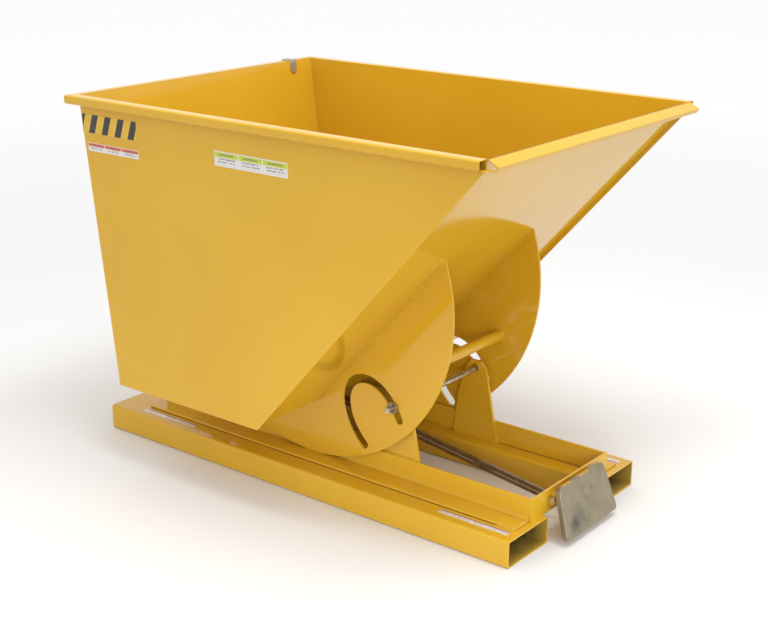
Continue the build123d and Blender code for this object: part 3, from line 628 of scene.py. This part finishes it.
def rounded(node, width, look, segments=2):
    """A copy of a CAD node whose sharp edges are broken by width. It stands for that node."""
    bm = bmesh.new()
    bm.from_mesh(nodes[node].data)
    bmesh.ops.remove_doubles(bm, verts=bm.verts, dist=MERGE_DISTANCE)
    bmesh.ops.dissolve_limit(bm, angle_limit=FLAT_LIMIT, verts=bm.verts, edges=bm.edges)
    sharp = [e for e in bm.edges if len(e.link_faces) == 2 and e.calc_face_angle(0.0) > SHARP_LIMIT]
    bmesh.ops.bevel(
        bm, geom=sharp, offset=width, offset_type="OFFSET", segments=segments,
        profile=0.5, affect="EDGES", clamp_overlap=True,
    )
    bmesh.ops.recalc_face_normals(bm, faces=bm.faces)
    made = finish_mesh(bm, f"{node}.shape", nodes[node]["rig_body"], [look])
    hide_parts(node)


# ---------------------------------------------------------------- pieces made from CAD nodes

# Width of the broken edge on each node, in metres.
PAINTED = {
    "side_panel_right": 0.0012, "side_panel_left": 0.0012,
    "rocker_right": 0.0009, "rocker_left": 0.0009,
    "rim_right": 0.0007, "rim_left": 0.0007, "rim_rear": 0.0007,
    "lip_flange": 0.0010, "cross_tube": 0.0008,
    "track_angle_right": 0.0024, "track_angle_left": 0.0024,
    "front_cross_plate": 0.0010, "rear_cross_plate": 0.0010, "mid_cross_bar": 0.0012,
    "upright_right": 0.0012, "upright_left": 0.0012,
    "rest_posts": 0.0012, "latch_cross_member": 0.0012, "latch_ears": 0.0009,
    "base_knuckles": 0.0010, "bumper_knuckles": 0.0010, "bumper_lugs": 0.0008,
    "keeper_brackets": 0.0009, "latch_hooks": 0.0008,
}
PLATED = {
    "guide_rod": 0.0012, "guide_rod_washers": 0.0006, "hinge_pin": 0.0014,
    "bar_front_pin": 0.0008, "latch_pin": 0.0008, "keeper_bar": 0.0008,
    "latch_bolt": 0.0008, "latch_nut": 0.0008, "cable_hook": 0.0007,
}

for name, width in PAINTED.items():
    rounded(name, width, TRACK_PAINT if name.startswith("track_angle") else PAINT)
for name, width in PLATED.items():
    rounded(name, width, DULL_ZINC if name == "guide_rod_washers" else ZINC)
rounded("release_bar", 0.0034, make_release_bar(), segments=4)
rounded("bumper_plate", 0.0012, BUMPER)


TUBE_WALL = 0.0048
TUBE_CORNER = 0.0080
CORNER_STEPS = 5
END_BREAK = 0.0007
# Bands between a tube's loops that face its inside.
INSIDE_BANDS = (5, 6, 7)


def tube_section(low, high, inset, radius):
    """Corner-rounded rectangle in Y and Z, drawn inside a box."""
    points = []
    centres = [(high.y, high.z, 0), (low.y, high.z, 1), (low.y, low.z, 2), (high.y, low.z, 3)]
    for y, z, quarter in centres:
        centre_y = y - math.copysign(inset + radius, y - (low.y + high.y) / 2)
        centre_z = z - math.copysign(inset + radius, z - (low.z + high.z) / 2)
        for step in range(CORNER_STEPS + 1):
            angle = (quarter + step / CORNER_STEPS) * math.pi / 2
            points.append((centre_y + radius * math.cos(angle), centre_z + radius * math.sin(angle)))
    return points


def make_fork_tube(side):
    """Rolled box section: round outer corners, tighter inner ones, and ends with the burr taken off."""
    name = f"fork_tube_{side}"
    low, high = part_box(name)
    outer = tube_section(low, high, 0.0, TUBE_CORNER)
    pared = tube_section(low, high, END_BREAK, TUBE_CORNER - END_BREAK)
    inner = tube_section(low, high, TUBE_WALL, TUBE_CORNER - TUBE_WALL)
    flared = tube_section(low, high, TUBE_WALL - END_BREAK, TUBE_CORNER - TUBE_WALL + END_BREAK)
    x_rear, x_front = low.x, high.x
    loops = [
        (x_rear, flared), (x_rear, pared), (x_rear + END_BREAK, outer), (x_front - END_BREAK, outer),
        (x_front, pared), (x_front, flared), (x_front - END_BREAK, inner), (x_rear + END_BREAK, inner),
    ]
    bm = bmesh.new()
    rings = [[bm.verts.new((x, y, z)) for y, z in points] for x, points in loops]
    count = len(outer)
    for index, ring_now in enumerate(rings):
        ring_next = rings[(index + 1) % len(rings)]
        for k in range(count):
            m = (k + 1) % count
            face = bm.faces.new((ring_now[k], ring_now[m], ring_next[m], ring_next[k]))
            face.material_index = int(index in INSIDE_BANDS)
    bmesh.ops.recalc_face_normals(bm, faces=bm.faces)
    made = finish_mesh(bm, f"{name}.shape", "base", [PAINT, TUBE_INSIDE])
    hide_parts(name)


for side in SIDES:
    make_fork_tube(side)

for name, look in LABEL_LOOKS.items():
    nodes[name].data.materials.clear()
    nodes[name].data.materials.append(look)
nodes["latch_spring"].data.materials.clear()
nodes["latch_spring"].data.materials.append(SPRING)

# ---------------------------------------------------------------- bent bin sheet

BIN_SHEET = 0.003
BEND_RADIUS = 0.007
BEND_STEPS = 6


def sheet_line():
    """The outer line of the bent sheet, from the rear rim down, along the bottom and up the chute."""
    back_low, back_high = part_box("back_panel")
    bottom_low, bottom_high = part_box("bottom_panel")
    chute_low, chute_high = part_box("chute_panel")
    return [
        Vector((back_low.x, 0, back_high.z)),
        Vector((bottom_low.x, 0, bottom_low.z)),
        Vector((bottom_high.x, 0, bottom_low.z)),
        Vector((chute_high.x, 0, chute_high.z)),
    ]


def bend(line, radius):
    """The line with each inner corner turned into an arc."""
    made = [line[0]]
    for before, corner, after in zip(line, line[1:], line[2:]):
        into = (corner - before).normalized()
        out = (after - corner).normalized()
        turn = into.angle(out)
        cut = radius * math.tan(turn / 2)
        start = corner - into * cut
        inward = (out - into).normalized()
        centre = corner + inward * (radius / math.cos(turn / 2))
        arm = start - centre
        axis = into.cross(out).normalized()
        for step in range(BEND_STEPS + 1):
            made.append(centre + Matrix.Rotation(turn * step / BEND_STEPS, 3, axis) @ arm)
    made.append(line[-1])
    return made


def offset_line(line, distance):
    """The line moved inwards by distance, to the bin's inside."""
    made = []
    for index, point in enumerate(line):
        ahead = line[min(index + 1, len(line) - 1)] - point
        behind = point - line[max(index - 1, 0)]
        run = (ahead.normalized() + behind.normalized()).normalized()
        normal = Vector((-run.z, 0, run.x))
        made.append(point + normal * distance)
    made[0].z = line[0].z
    made[-1].z = line[-1].z
    return made


def make_bin_sheet():
    outer = bend(sheet_line(), BEND_RADIUS)
    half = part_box("bottom_panel")[1].y
    inner = offset_line(outer, BIN_SHEET)
    bm = bmesh.new()
    near_out, near_in, far_out, far_in = (
        [bm.verts.new((p.x, y, p.z)) for p in line] for y in (-half, half) for line in (outer, inner)
    )
    for i in range(len(outer) - 1):
        bm.faces.new((near_out[i], near_out[i + 1], far_out[i + 1], far_out[i]))
        bm.faces.new((near_in[i], far_in[i], far_in[i + 1], near_in[i + 1]))
        bm.faces.new((near_out[i], near_in[i], near_in[i + 1], near_out[i + 1]))
        bm.faces.new((far_out[i], far_out[i + 1], far_in[i + 1], far_in[i]))
    for i in (0, -1):
        bm.faces.new((near_out[i], far_out[i], far_in[i], near_in[i]))
    bmesh.ops.recalc_face_normals(bm, faces=bm.faces)
    made = finish_mesh(bm, "bin_sheet", "hopper", [PAINT])
    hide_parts("back_panel", "bottom_panel", "chute_panel")


make_bin_sheet()

# ---------------------------------------------------------------- weld beads

RIPPLE_PITCH = 0.0060
RIPPLE_PARTS = 3
RIPPLE_STEP = RIPPLE_PITCH / RIPPLE_PARTS
RIPPLE_DEPTH = 0.10
SWELL = 0.10
# A bead starts at this share of its radius, and would grow by a whole radius over this many radii.
CRATER = 0.25
TAPER_RUN = 2.5
BEAD_SIDES = 8
RING_STEPS = 40
FEWEST_STEPS = 4


def resample(points, step, closed):
    """Points equally spaced along a line of points."""
    line = [Vector(p) for p in points] + ([Vector(points[0])] if closed else [])
    lengths = [(b - a).length for a, b in zip(line, line[1:])]
    total = sum(lengths)
    count = max(FEWEST_STEPS, int(total / step))
    made = []
    for i in range(count + (0 if closed else 1)):
        left = total * i / count
        k = 0
        while k < len(lengths) - 1 and left > lengths[k]:
            left -= lengths[k]
            k += 1
        made.append(line[k].lerp(line[k + 1], min(1.0, left / lengths[k])))
    return made, total


def sweep(bm, line, sizes, sides, closed=False):
    """A round section carried along a line, with its radius given at each point."""
    rings = []
    side = None
    last = len(line) - 1
    for i, point in enumerate(line):
        before = line[i - 1] if (i or closed) else point
        after = line[(i + 1) % len(line)] if (i < last or closed) else point
        along = (after - before).normalized()
        side = along.orthogonal() if side is None else side - along * side.dot(along)
        side.normalize()
        other = along.cross(side)
        ring = []
        for k in range(sides):
            angle = 2 * math.pi * k / sides
            ring.append(bm.verts.new(point + (side * math.cos(angle) + other * math.sin(angle)) * sizes[i]))
        rings.append(ring)
    pairs = list(zip(rings, rings[1:])) + ([(rings[-1], rings[0])] if closed else [])
    for a, b in pairs:
        for k in range(sides):
            m = (k + 1) % sides
            bm.faces.new((a[k], a[m], b[m], b[k]))
    if not closed:
        bm.faces.new(list(reversed(rings[0])))
        bm.faces.new(rings[-1])


def add_bead(bm, points, radius, rng, closed=False):
    """A rippled weld bead that tapers to a crater at each end of an open run."""
    line, total = resample(points, RIPPLE_STEP, closed)
    sizes = []
    swell = 1.0
    for i in range(len(line)):
        if i % RIPPLE_PARTS == 0:
            swell = rng.uniform(1 - SWELL, 1 + SWELL)
        s = total * i / len(line)
        taper = 1.0 if closed else min(1.0, CRATER + min(s, total - s) / (TAPER_RUN * radius))
        ripple = 1 + RIPPLE_DEPTH * math.sin(2 * math.pi * s / RIPPLE_PITCH)
        sizes.append(radius * swell * taper * ripple)
    sweep(bm, line, sizes, BEAD_SIDES, closed)


def weld_group(name, body, runs, seed):
    """Beads given as (points, radius, closed), made into one piece."""
    rng = random.Random(seed)
    bm = bmesh.new()
    for points, radius, closed in runs:
        add_bead(bm, points, radius, rng, closed)
    bmesh.ops.recalc_face_normals(bm, faces=bm.faces)
    return finish_mesh(bm, name, body, [WELD_PAINT])


def stitches(start, end, radius, weld, gap):
    """Runs of weld length with gaps between them, centred on a straight line."""
    start, end = Vector(start), Vector(end)
    total = (end - start).length
    count = max(1, round((total + gap) / (weld + gap)))
    scale = total / (count * weld + (count - 1) * gap)
    runs = []
    for i in range(count):
        a = i * (weld + gap) * scale / total
        b = a + weld * scale / total
        runs.append(([start.lerp(end, a), start.lerp(end, b)], radius, False))
    return runs


def ring(centre, radius):
    """Points of a circle about an axis along Y."""
    points = []
    for k in range(RING_STEPS):
        angle = 2 * math.pi * k / RING_STEPS
        points.append(centre + Vector((radius * math.cos(angle), 0, radius * math.sin(angle))))
    return points


def bead(start, end, radius):
    """One straight run of weld."""
    return [start, end], radius, False


# ---------------------------------------------------------------- welds on the hopper

bottom_low, bottom_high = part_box("bottom_panel")
_, chute_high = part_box("chute_panel")
rocker_low, rocker_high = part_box("rocker_left")
tube_low, tube_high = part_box("cross_tube")
_, panel_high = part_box("side_panel_left")

foot = Vector((bottom_high.x, 0, bottom_low.z))
head = Vector((chute_high.x, 0, chute_high.z))
chute_run = (head - foot).normalized()
below_chute = Vector((chute_run.z, 0, -chute_run.x))
rocker_tip = foot + chute_run * ((rocker_high.z - foot.z) / chute_run.z)
panel_inner = panel_high.y - BIN_SHEET

# A stitch is the length of a weld, and of the gap after it.
ROCKER_BEAD = 0.0024
CHUTE_STITCH = (0.150, 0.095)
BOTTOM_STITCH = (0.090, 0.100)
PANEL_BEAD = 0.0019
PANEL_STITCH = (0.070, 0.140)
COLLAR_BEAD = 0.0027
# How far each bead's middle stands out from the sheet.
ROCKER_STAND = 0.001
PANEL_STAND = 0.0008
COLLAR_STAND = 0.0012
# How far welds stop short: of the rocker's tip, the chute's foot, the bottom's ends, the panel's ends.
TIP_SHORT = 0.010
FOOT_SHORT = 0.020
BOTTOM_SHORT = (0.015, 0.030)
PANEL_SHORT = (0.030, 0.060)


def beside(point, y):
    return Vector((point.x, y, point.z))


def rocker_welds(sign):
    """Stitches on both faces of a rocker, down the chute and back along the bottom."""
    runs = []
    level = foot.z - ROCKER_STAND
    upper = rocker_tip - chute_run * TIP_SHORT + below_chute * ROCKER_STAND
    lower = foot + chute_run * FOOT_SHORT + below_chute * ROCKER_STAND
    for y in (sign * (rocker_high.y + ROCKER_STAND), sign * (rocker_low.y - ROCKER_STAND)):
        runs += stitches(beside(upper, y), beside(lower, y), ROCKER_BEAD, *CHUTE_STITCH)
        front = (foot.x - BOTTOM_SHORT[0], y, level)
        rear = (rocker_low.x + BOTTOM_SHORT[1], y, level)
        runs += stitches(front, rear, ROCKER_BEAD, *BOTTOM_STITCH)
    return runs


def panel_welds(sign):
    """Stitches under the chute, along the inside of a side panel's overhang."""
    y = sign * (panel_inner - PANEL_STAND)
    lower = foot + chute_run * PANEL_SHORT[0] + below_chute * PANEL_STAND
    upper = head - chute_run * PANEL_SHORT[1] + below_chute * PANEL_STAND
    return stitches(beside(lower, y), beside(upper, y), PANEL_BEAD, *PANEL_STITCH)


def collar_weld(sign):
    """A bead round the cross tube, where it meets a rocker."""
    centre = (tube_low + tube_high) / 2
    centre.y = sign * (rocker_low.y - COLLAR_STAND)
    return ring(centre, (tube_high.z - tube_low.z) / 2 + COLLAR_STAND), COLLAR_BEAD, True


def hopper_welds():
    runs = []
    for sign in (NEAR, FAR):
        runs += rocker_welds(sign) + panel_welds(sign) + [collar_weld(sign)]
    return runs


weld_group("hopper_welds", "hopper", hopper_welds(), 11)

# ---------------------------------------------------------------- welds on the base

angle_low, angle_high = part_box("track_angle_left")
upright_low, upright_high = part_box("upright_left")
plate_low, plate_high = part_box("front_cross_plate")
_, rear_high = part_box("rear_cross_plate")
fork_low, fork_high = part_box("fork_tube_left")
mid_low, mid_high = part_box("mid_cross_bar")
knuckle_low, knuckle_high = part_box("base_knuckles")
member_low, member_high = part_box("latch_cross_member")
tube_top = fork_high.z

LAST_WELD = 0.060
KNUCKLE_MIDDLES = (-0.081, 0.081)
KNUCKLE_HALF = 0.019
# How far each upright's edge has moved in at its first corner, and how high that corner is.
UPRIGHT_REAR = (0.014, 0.1198)
UPRIGHT_FRONT = (0.045, 0.2198)
# How far the weld up each side of an upright leans in over the leg's height.
UPRIGHT_LEANS = (0.007, -0.017)
LEAN_AT_FOOT = 0.1
SAME_LEVEL = 1e-4

TRACK_BEAD = 0.0028
CORNER_BEAD = 0.0026
PLATE_BEAD = 0.0024
MEMBER_BEAD = 0.0022
LEG_BEAD = 0.0021
LEG_STITCH = (0.060, 0.160)
FACE_STAND = 0.0006
CORNER_STAND = 0.0008
LEDGE_STAND = 0.0012
# How far welds stay above the tubes, and short of the edges they run along.
FOOT_LIFT = 0.001
UPRIGHT_LIFT = 0.003
CORNER_LIFT = 0.004
WELD_SHORT = 0.004
TOP_SHORT = 0.003
KNUCKLE_SHORT = 0.003
LEDGE_SHORT = 0.008
MEMBER_SHORT = 0.006
TOE_SHORT = 0.002
LEG_SHORT = (0.05, 0.02)


def upright_width(z):
    """Rear and front edge of an upright at a height, from where its outline's corners lie."""
    corners = [v.co for v in nodes["upright_left"].data.vertices]
    feet = [p.x for p in corners if abs(p.z - upright_low.z) < SAME_LEVEL]
    rear_z, front_z = upright_low.z + UPRIGHT_REAR[1], upright_low.z + UPRIGHT_FRONT[1]
    rear = min(feet) + UPRIGHT_REAR[0] * (z - upright_low.z) / (rear_z - upright_low.z)
    front = max(feet) - UPRIGHT_FRONT[0] * (z - upright_low.z) / (front_z - upright_low.z)
    return rear, front


def track_welds(sign):
    """A run at the front of the flange's toe, and stitches along the foot of the leg."""
    level = tube_top + FOOT_LIFT
    toe = sign * (angle_high.y + FACE_STAND)
    heel = sign * (angle_low.y - FACE_STAND)
    start = (angle_high.x - LAST_WELD, toe, level)
    last = bead(start, (angle_high.x - TOE_SHORT, toe, level), TRACK_BEAD)
    rear = (angle_low.x + LEG_SHORT[0], heel, level)
    front = (upright_low.x - LEG_SHORT[1], heel, level)
    return [last] + stitches(rear, front, LEG_BEAD, *LEG_STITCH)


def upright_welds(sign):
    """A run along the leg's top edge, and one up each side of an upright's foot."""
    rear, front = upright_width(angle_high.z)
    y = sign * (angle_low.y + LEDGE_STAND)
    start = (rear + LEDGE_SHORT, y, angle_high.z)
    runs = [bead(start, (front - LEDGE_SHORT, y, angle_high.z), TRACK_BEAD)]
    heel = sign * (angle_low.y - FACE_STAND)
    for x, lean in zip((upright_low.x, upright_high.x), UPRIGHT_LEANS):
        low = (x + lean * LEAN_AT_FOOT, heel, tube_top + UPRIGHT_LIFT)
        runs.append(bead(low, (x + lean, heel, angle_high.z - WELD_SHORT), CORNER_BEAD))
    return runs


def plate_welds(sign):
    """A run up the corner of each cross plate, and one along the front plate's foot."""
    y = sign * (angle_low.y - CORNER_STAND)
    runs = []
    for x, top in ((plate_low.x - CORNER_STAND, plate_high.z), (rear_high.x + CORNER_STAND, rear_high.z)):
        runs.append(bead((x, y, tube_top + CORNER_LIFT), (x, y, top - TOP_SHORT), CORNER_BEAD))
    x = plate_high.x + FACE_STAND
    inner = (x, sign * (fork_low.y + WELD_SHORT), tube_top + FOOT_LIFT)
    outer = (x, sign * (plate_high.y - WELD_SHORT), tube_top + FOOT_LIFT)
    return runs + [bead(inner, outer, PLATE_BEAD)]


def cross_welds(sign):
    """The mid bar's end on a tube, and both edges of the latch cross member."""
    y = sign * (fork_low.y - FACE_STAND)
    start = (mid_low.x + WELD_SHORT, y, mid_high.z)
    runs = [bead(start, (mid_high.x - WELD_SHORT, y, mid_high.z), CORNER_BEAD)]
    for x in (member_low.x - FACE_STAND, member_high.x + FACE_STAND):
        inner = (x, sign * (fork_low.y + WELD_SHORT), tube_top + FOOT_LIFT)
        outer = (x, sign * (angle_low.y - MEMBER_SHORT), tube_top + FOOT_LIFT)
        runs.append(bead(inner, outer, MEMBER_BEAD))
    return runs


def knuckle_welds():
    """Runs above and below each of the front plate's knuckles."""
    x = plate_high.x + FACE_STAND
    half = KNUCKLE_HALF - KNUCKLE_SHORT
    return [
        bead((x, middle - half, z), (x, middle + half, z), PLATE_BEAD)
        for middle in KNUCKLE_MIDDLES
        for z in (knuckle_low.z, knuckle_high.z)
    ]


def base_welds():
    runs = []
    for sign in (NEAR, FAR):
        runs += track_welds(sign) + upright_welds(sign) + plate_welds(sign) + cross_welds(sign)
    return runs + knuckle_welds()


weld_group("base_welds", "base", base_welds(), 23)

# ---------------------------------------------------------------- painted shadow lines in the gaps between welds

SEAM_RADIUS = 0.0009
SEAM_STEP = 0.040
SEAM_SIDES = 6
# How far a seam stands out of the tube's top and of the angle's face, as shares of its radius.
SEAM_LIFT = 0.2
SEAM_OUT = 0.3
SEAM_SHORT = 0.004
SEAM_AHEAD = 0.006


def make_shade_lines():
    """Thin dark strips of painted shadow beside the tracks: under each flange's toe, and at the foot of
    each leg.
    """
    level = tube_top + SEAM_RADIUS * SEAM_LIFT
    bm = bmesh.new()
    for sign in (NEAR, FAR):
        toe = sign * (angle_high.y + SEAM_RADIUS * SEAM_OUT)
        heel = sign * (angle_low.y - SEAM_RADIUS * SEAM_OUT)
        for start, end, y in (
            (angle_low.x + SEAM_SHORT, angle_high.x - LAST_WELD, toe),
            (upright_high.x + SEAM_AHEAD, plate_low.x - SEAM_SHORT, heel),
        ):
            line, _ = resample([(start, y, level), (end, y, level)], SEAM_STEP, False)
            sweep(bm, line, [SEAM_RADIUS] * len(line), SEAM_SIDES)
    bmesh.ops.recalc_face_normals(bm, faces=bm.faces)
    finish_mesh(bm, "track_seams", "base", [SEAM_SHADE])


make_shade_lines()

# ---------------------------------------------------------------- ledges at the rim's front ends

LEDGE_REACH = 0.023
LEDGE_THICKNESS = 0.0025
LEDGE_CORNER = 0.012
LEDGE_STEPS = 6
LEDGE_INSET = 0.0005
LEDGE_LAP = 0.002


def make_ledges():
    """Each side rim's lower leaf runs on past its open end, to meet the lip."""
    low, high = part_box("rim_left")
    inner, outer = low.y + LEDGE_INSET, high.y - LEDGE_INSET
    start, end = high.x - LEDGE_LAP, high.x + LEDGE_REACH
    outline = [(start, outer)]
    for step in range(LEDGE_STEPS + 1):
        angle = (math.pi / 2) * (1 - step / LEDGE_STEPS)
        x = end - LEDGE_CORNER * (1 - math.cos(angle))
        outline.append((x, outer - LEDGE_CORNER * (1 - math.sin(angle))))
    outline += [(end, inner), (start, inner)]
    bm = bmesh.new()
    for sign in (NEAR, FAR):
        bottom, top = (
            [bm.verts.new((x, sign * y, z)) for x, y in outline] for z in (low.z, low.z + LEDGE_THICKNESS)
        )
        prism(bm, bottom, top)
    bmesh.ops.recalc_face_normals(bm, faces=bm.faces)
    finish_mesh(bm, "rim_ledges", "hopper", [PAINT])


make_ledges()

# ---------------------------------------------------------------- rolled root of the track angles

ROOT_RADIUS = 0.006
ROOT_STEPS = 7
ROOT_SINK = 0.0004
ROOT_ENDS = (0.0015, 0.0005)
# Steps in height or width smaller than this belong to the same face of the angle.
FACE_STEP = 1e-3


def make_roots():
    """The quarter round in the inside corner of each angle, where leg meets flange."""
    corners = [v.co for v in nodes["track_angle_left"].data.vertices]
    leg_y = max(p.y for p in corners if abs(p.z - angle_high.z) < SAME_LEVEL)
    flange_z = min(p.z for p in corners if p.z > angle_low.z + FACE_STEP and p.y > leg_y + FACE_STEP)
    section = [(leg_y - ROOT_SINK, flange_z - ROOT_SINK), (leg_y - ROOT_SINK, flange_z + ROOT_RADIUS)]
    for step in range(ROOT_STEPS + 1):
        angle = math.pi + (math.pi / 2) * step / ROOT_STEPS
        y = leg_y + ROOT_RADIUS + ROOT_RADIUS * math.cos(angle)
        section.append((y, flange_z + ROOT_RADIUS + ROOT_RADIUS * math.sin(angle)))
    section.append((leg_y + ROOT_RADIUS, flange_z - ROOT_SINK))
    bm = bmesh.new()
    for sign in (NEAR, FAR):
        rear, front = (
            [bm.verts.new((x, sign * y, z)) for y, z in section]
            for x in (angle_low.x + ROOT_ENDS[0], angle_high.x - ROOT_ENDS[1])
        )
        prism(bm, rear, front)
    bmesh.ops.recalc_face_normals(bm, faces=bm.faces)
    finish_mesh(bm, "track_roots", "base", [TRACK_PAINT])


make_roots()

# ---------------------------------------------------------------- rolling key

KEY_CUT = 0.0042


def make_rolling_key():
    """The rolling key's two blocks, each cut away below so that it clears the angle's root."""
    low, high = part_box("rolling_key")
    inner = min(abs(v.co.y) for v in nodes["rolling_key"].data.vertices)
    section = [
        (inner, low.z + KEY_CUT),
        (inner + KEY_CUT, low.z),
        (high.y, low.z),
        (high.y, high.z),
        (inner, high.z),
    ]
    bm = bmesh.new()
    for sign in (NEAR, FAR):
        rear, front = ([bm.verts.new((x, sign * y, z)) for y, z in section] for x in (low.x, high.x))
        prism(bm, rear, front)
    bmesh.ops.recalc_face_normals(bm, faces=bm.faces)
    made = finish_mesh(bm, "rolling_key.shape", "roll_carrier", [PAINT])
    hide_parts("rolling_key")


make_rolling_key()

# ---------------------------------------------------------------- cotter pins

COTTER_WIRE = 0.0013
EYE_RADIUS = 0.0034
EYE_STEPS = 8
COTTER_STEP = 0.0012
WIRE_SIDES = 8
# A half wire's radius as a share of the wire, and its distance from the pin's middle.
HALF_WIRE = 0.75
WIRE_APART = 0.0006
# Heights above the foot where a half wire starts to bend, and where it leaves the middle by BENT.
BEND_HIGH, BEND_LOW = 0.006, 0.003
BENT = 0.0015
FOOT_UP = 0.002
# Each pin: where its cotters sit in Y, and how far their ends splay.
COTTERS = {"guide_rod_cotters": ((-0.224, 0.224), 0.0060), "hinge_cotter": ((0.106,), 0.0055)}


def cotter(bm, node_low, node_high, y, splay):
    """A split pin: an eye above, two wires through the shaft, and ends bent apart below."""
    x = (node_low.x + node_high.x) / 2
    top = node_high.z - 2 * EYE_RADIUS - COTTER_WIRE
    bottom = node_low.z + FOOT_UP
    for sign in (-1, 1):
        wire_x = x + sign * WIRE_APART
        points = [Vector((wire_x, y, top + 2 * EYE_RADIUS))]
        for step in range(1, EYE_STEPS):
            angle = math.pi / 2 - math.pi * step / EYE_STEPS
            eye_x = x + sign * EYE_RADIUS * math.cos(angle)
            points.append(Vector((eye_x, y, top + EYE_RADIUS + EYE_RADIUS * math.sin(angle))))
        points += [
            Vector((wire_x, y, top)),
            Vector((wire_x, y, bottom + BEND_HIGH)),
            Vector((x + sign * BENT, y, bottom + BEND_LOW)),
            Vector((x + sign * splay, y, bottom)),
        ]
        line, _ = resample(points, COTTER_STEP, False)
        sweep(bm, line, [COTTER_WIRE * HALF_WIRE] * len(line), WIRE_SIDES)


def make_cotters(node, places, splay):
    bm = bmesh.new()
    low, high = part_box(node)
    for y in places:
        cotter(bm, low, high, y, splay)
    bmesh.ops.recalc_face_normals(bm, faces=bm.faces)
    made = finish_mesh(bm, f"{node}.bent", nodes[node]["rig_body"], [ZINC])
    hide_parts(node)


for name, (places, splay) in COTTERS.items():
    make_cotters(name, places, splay)
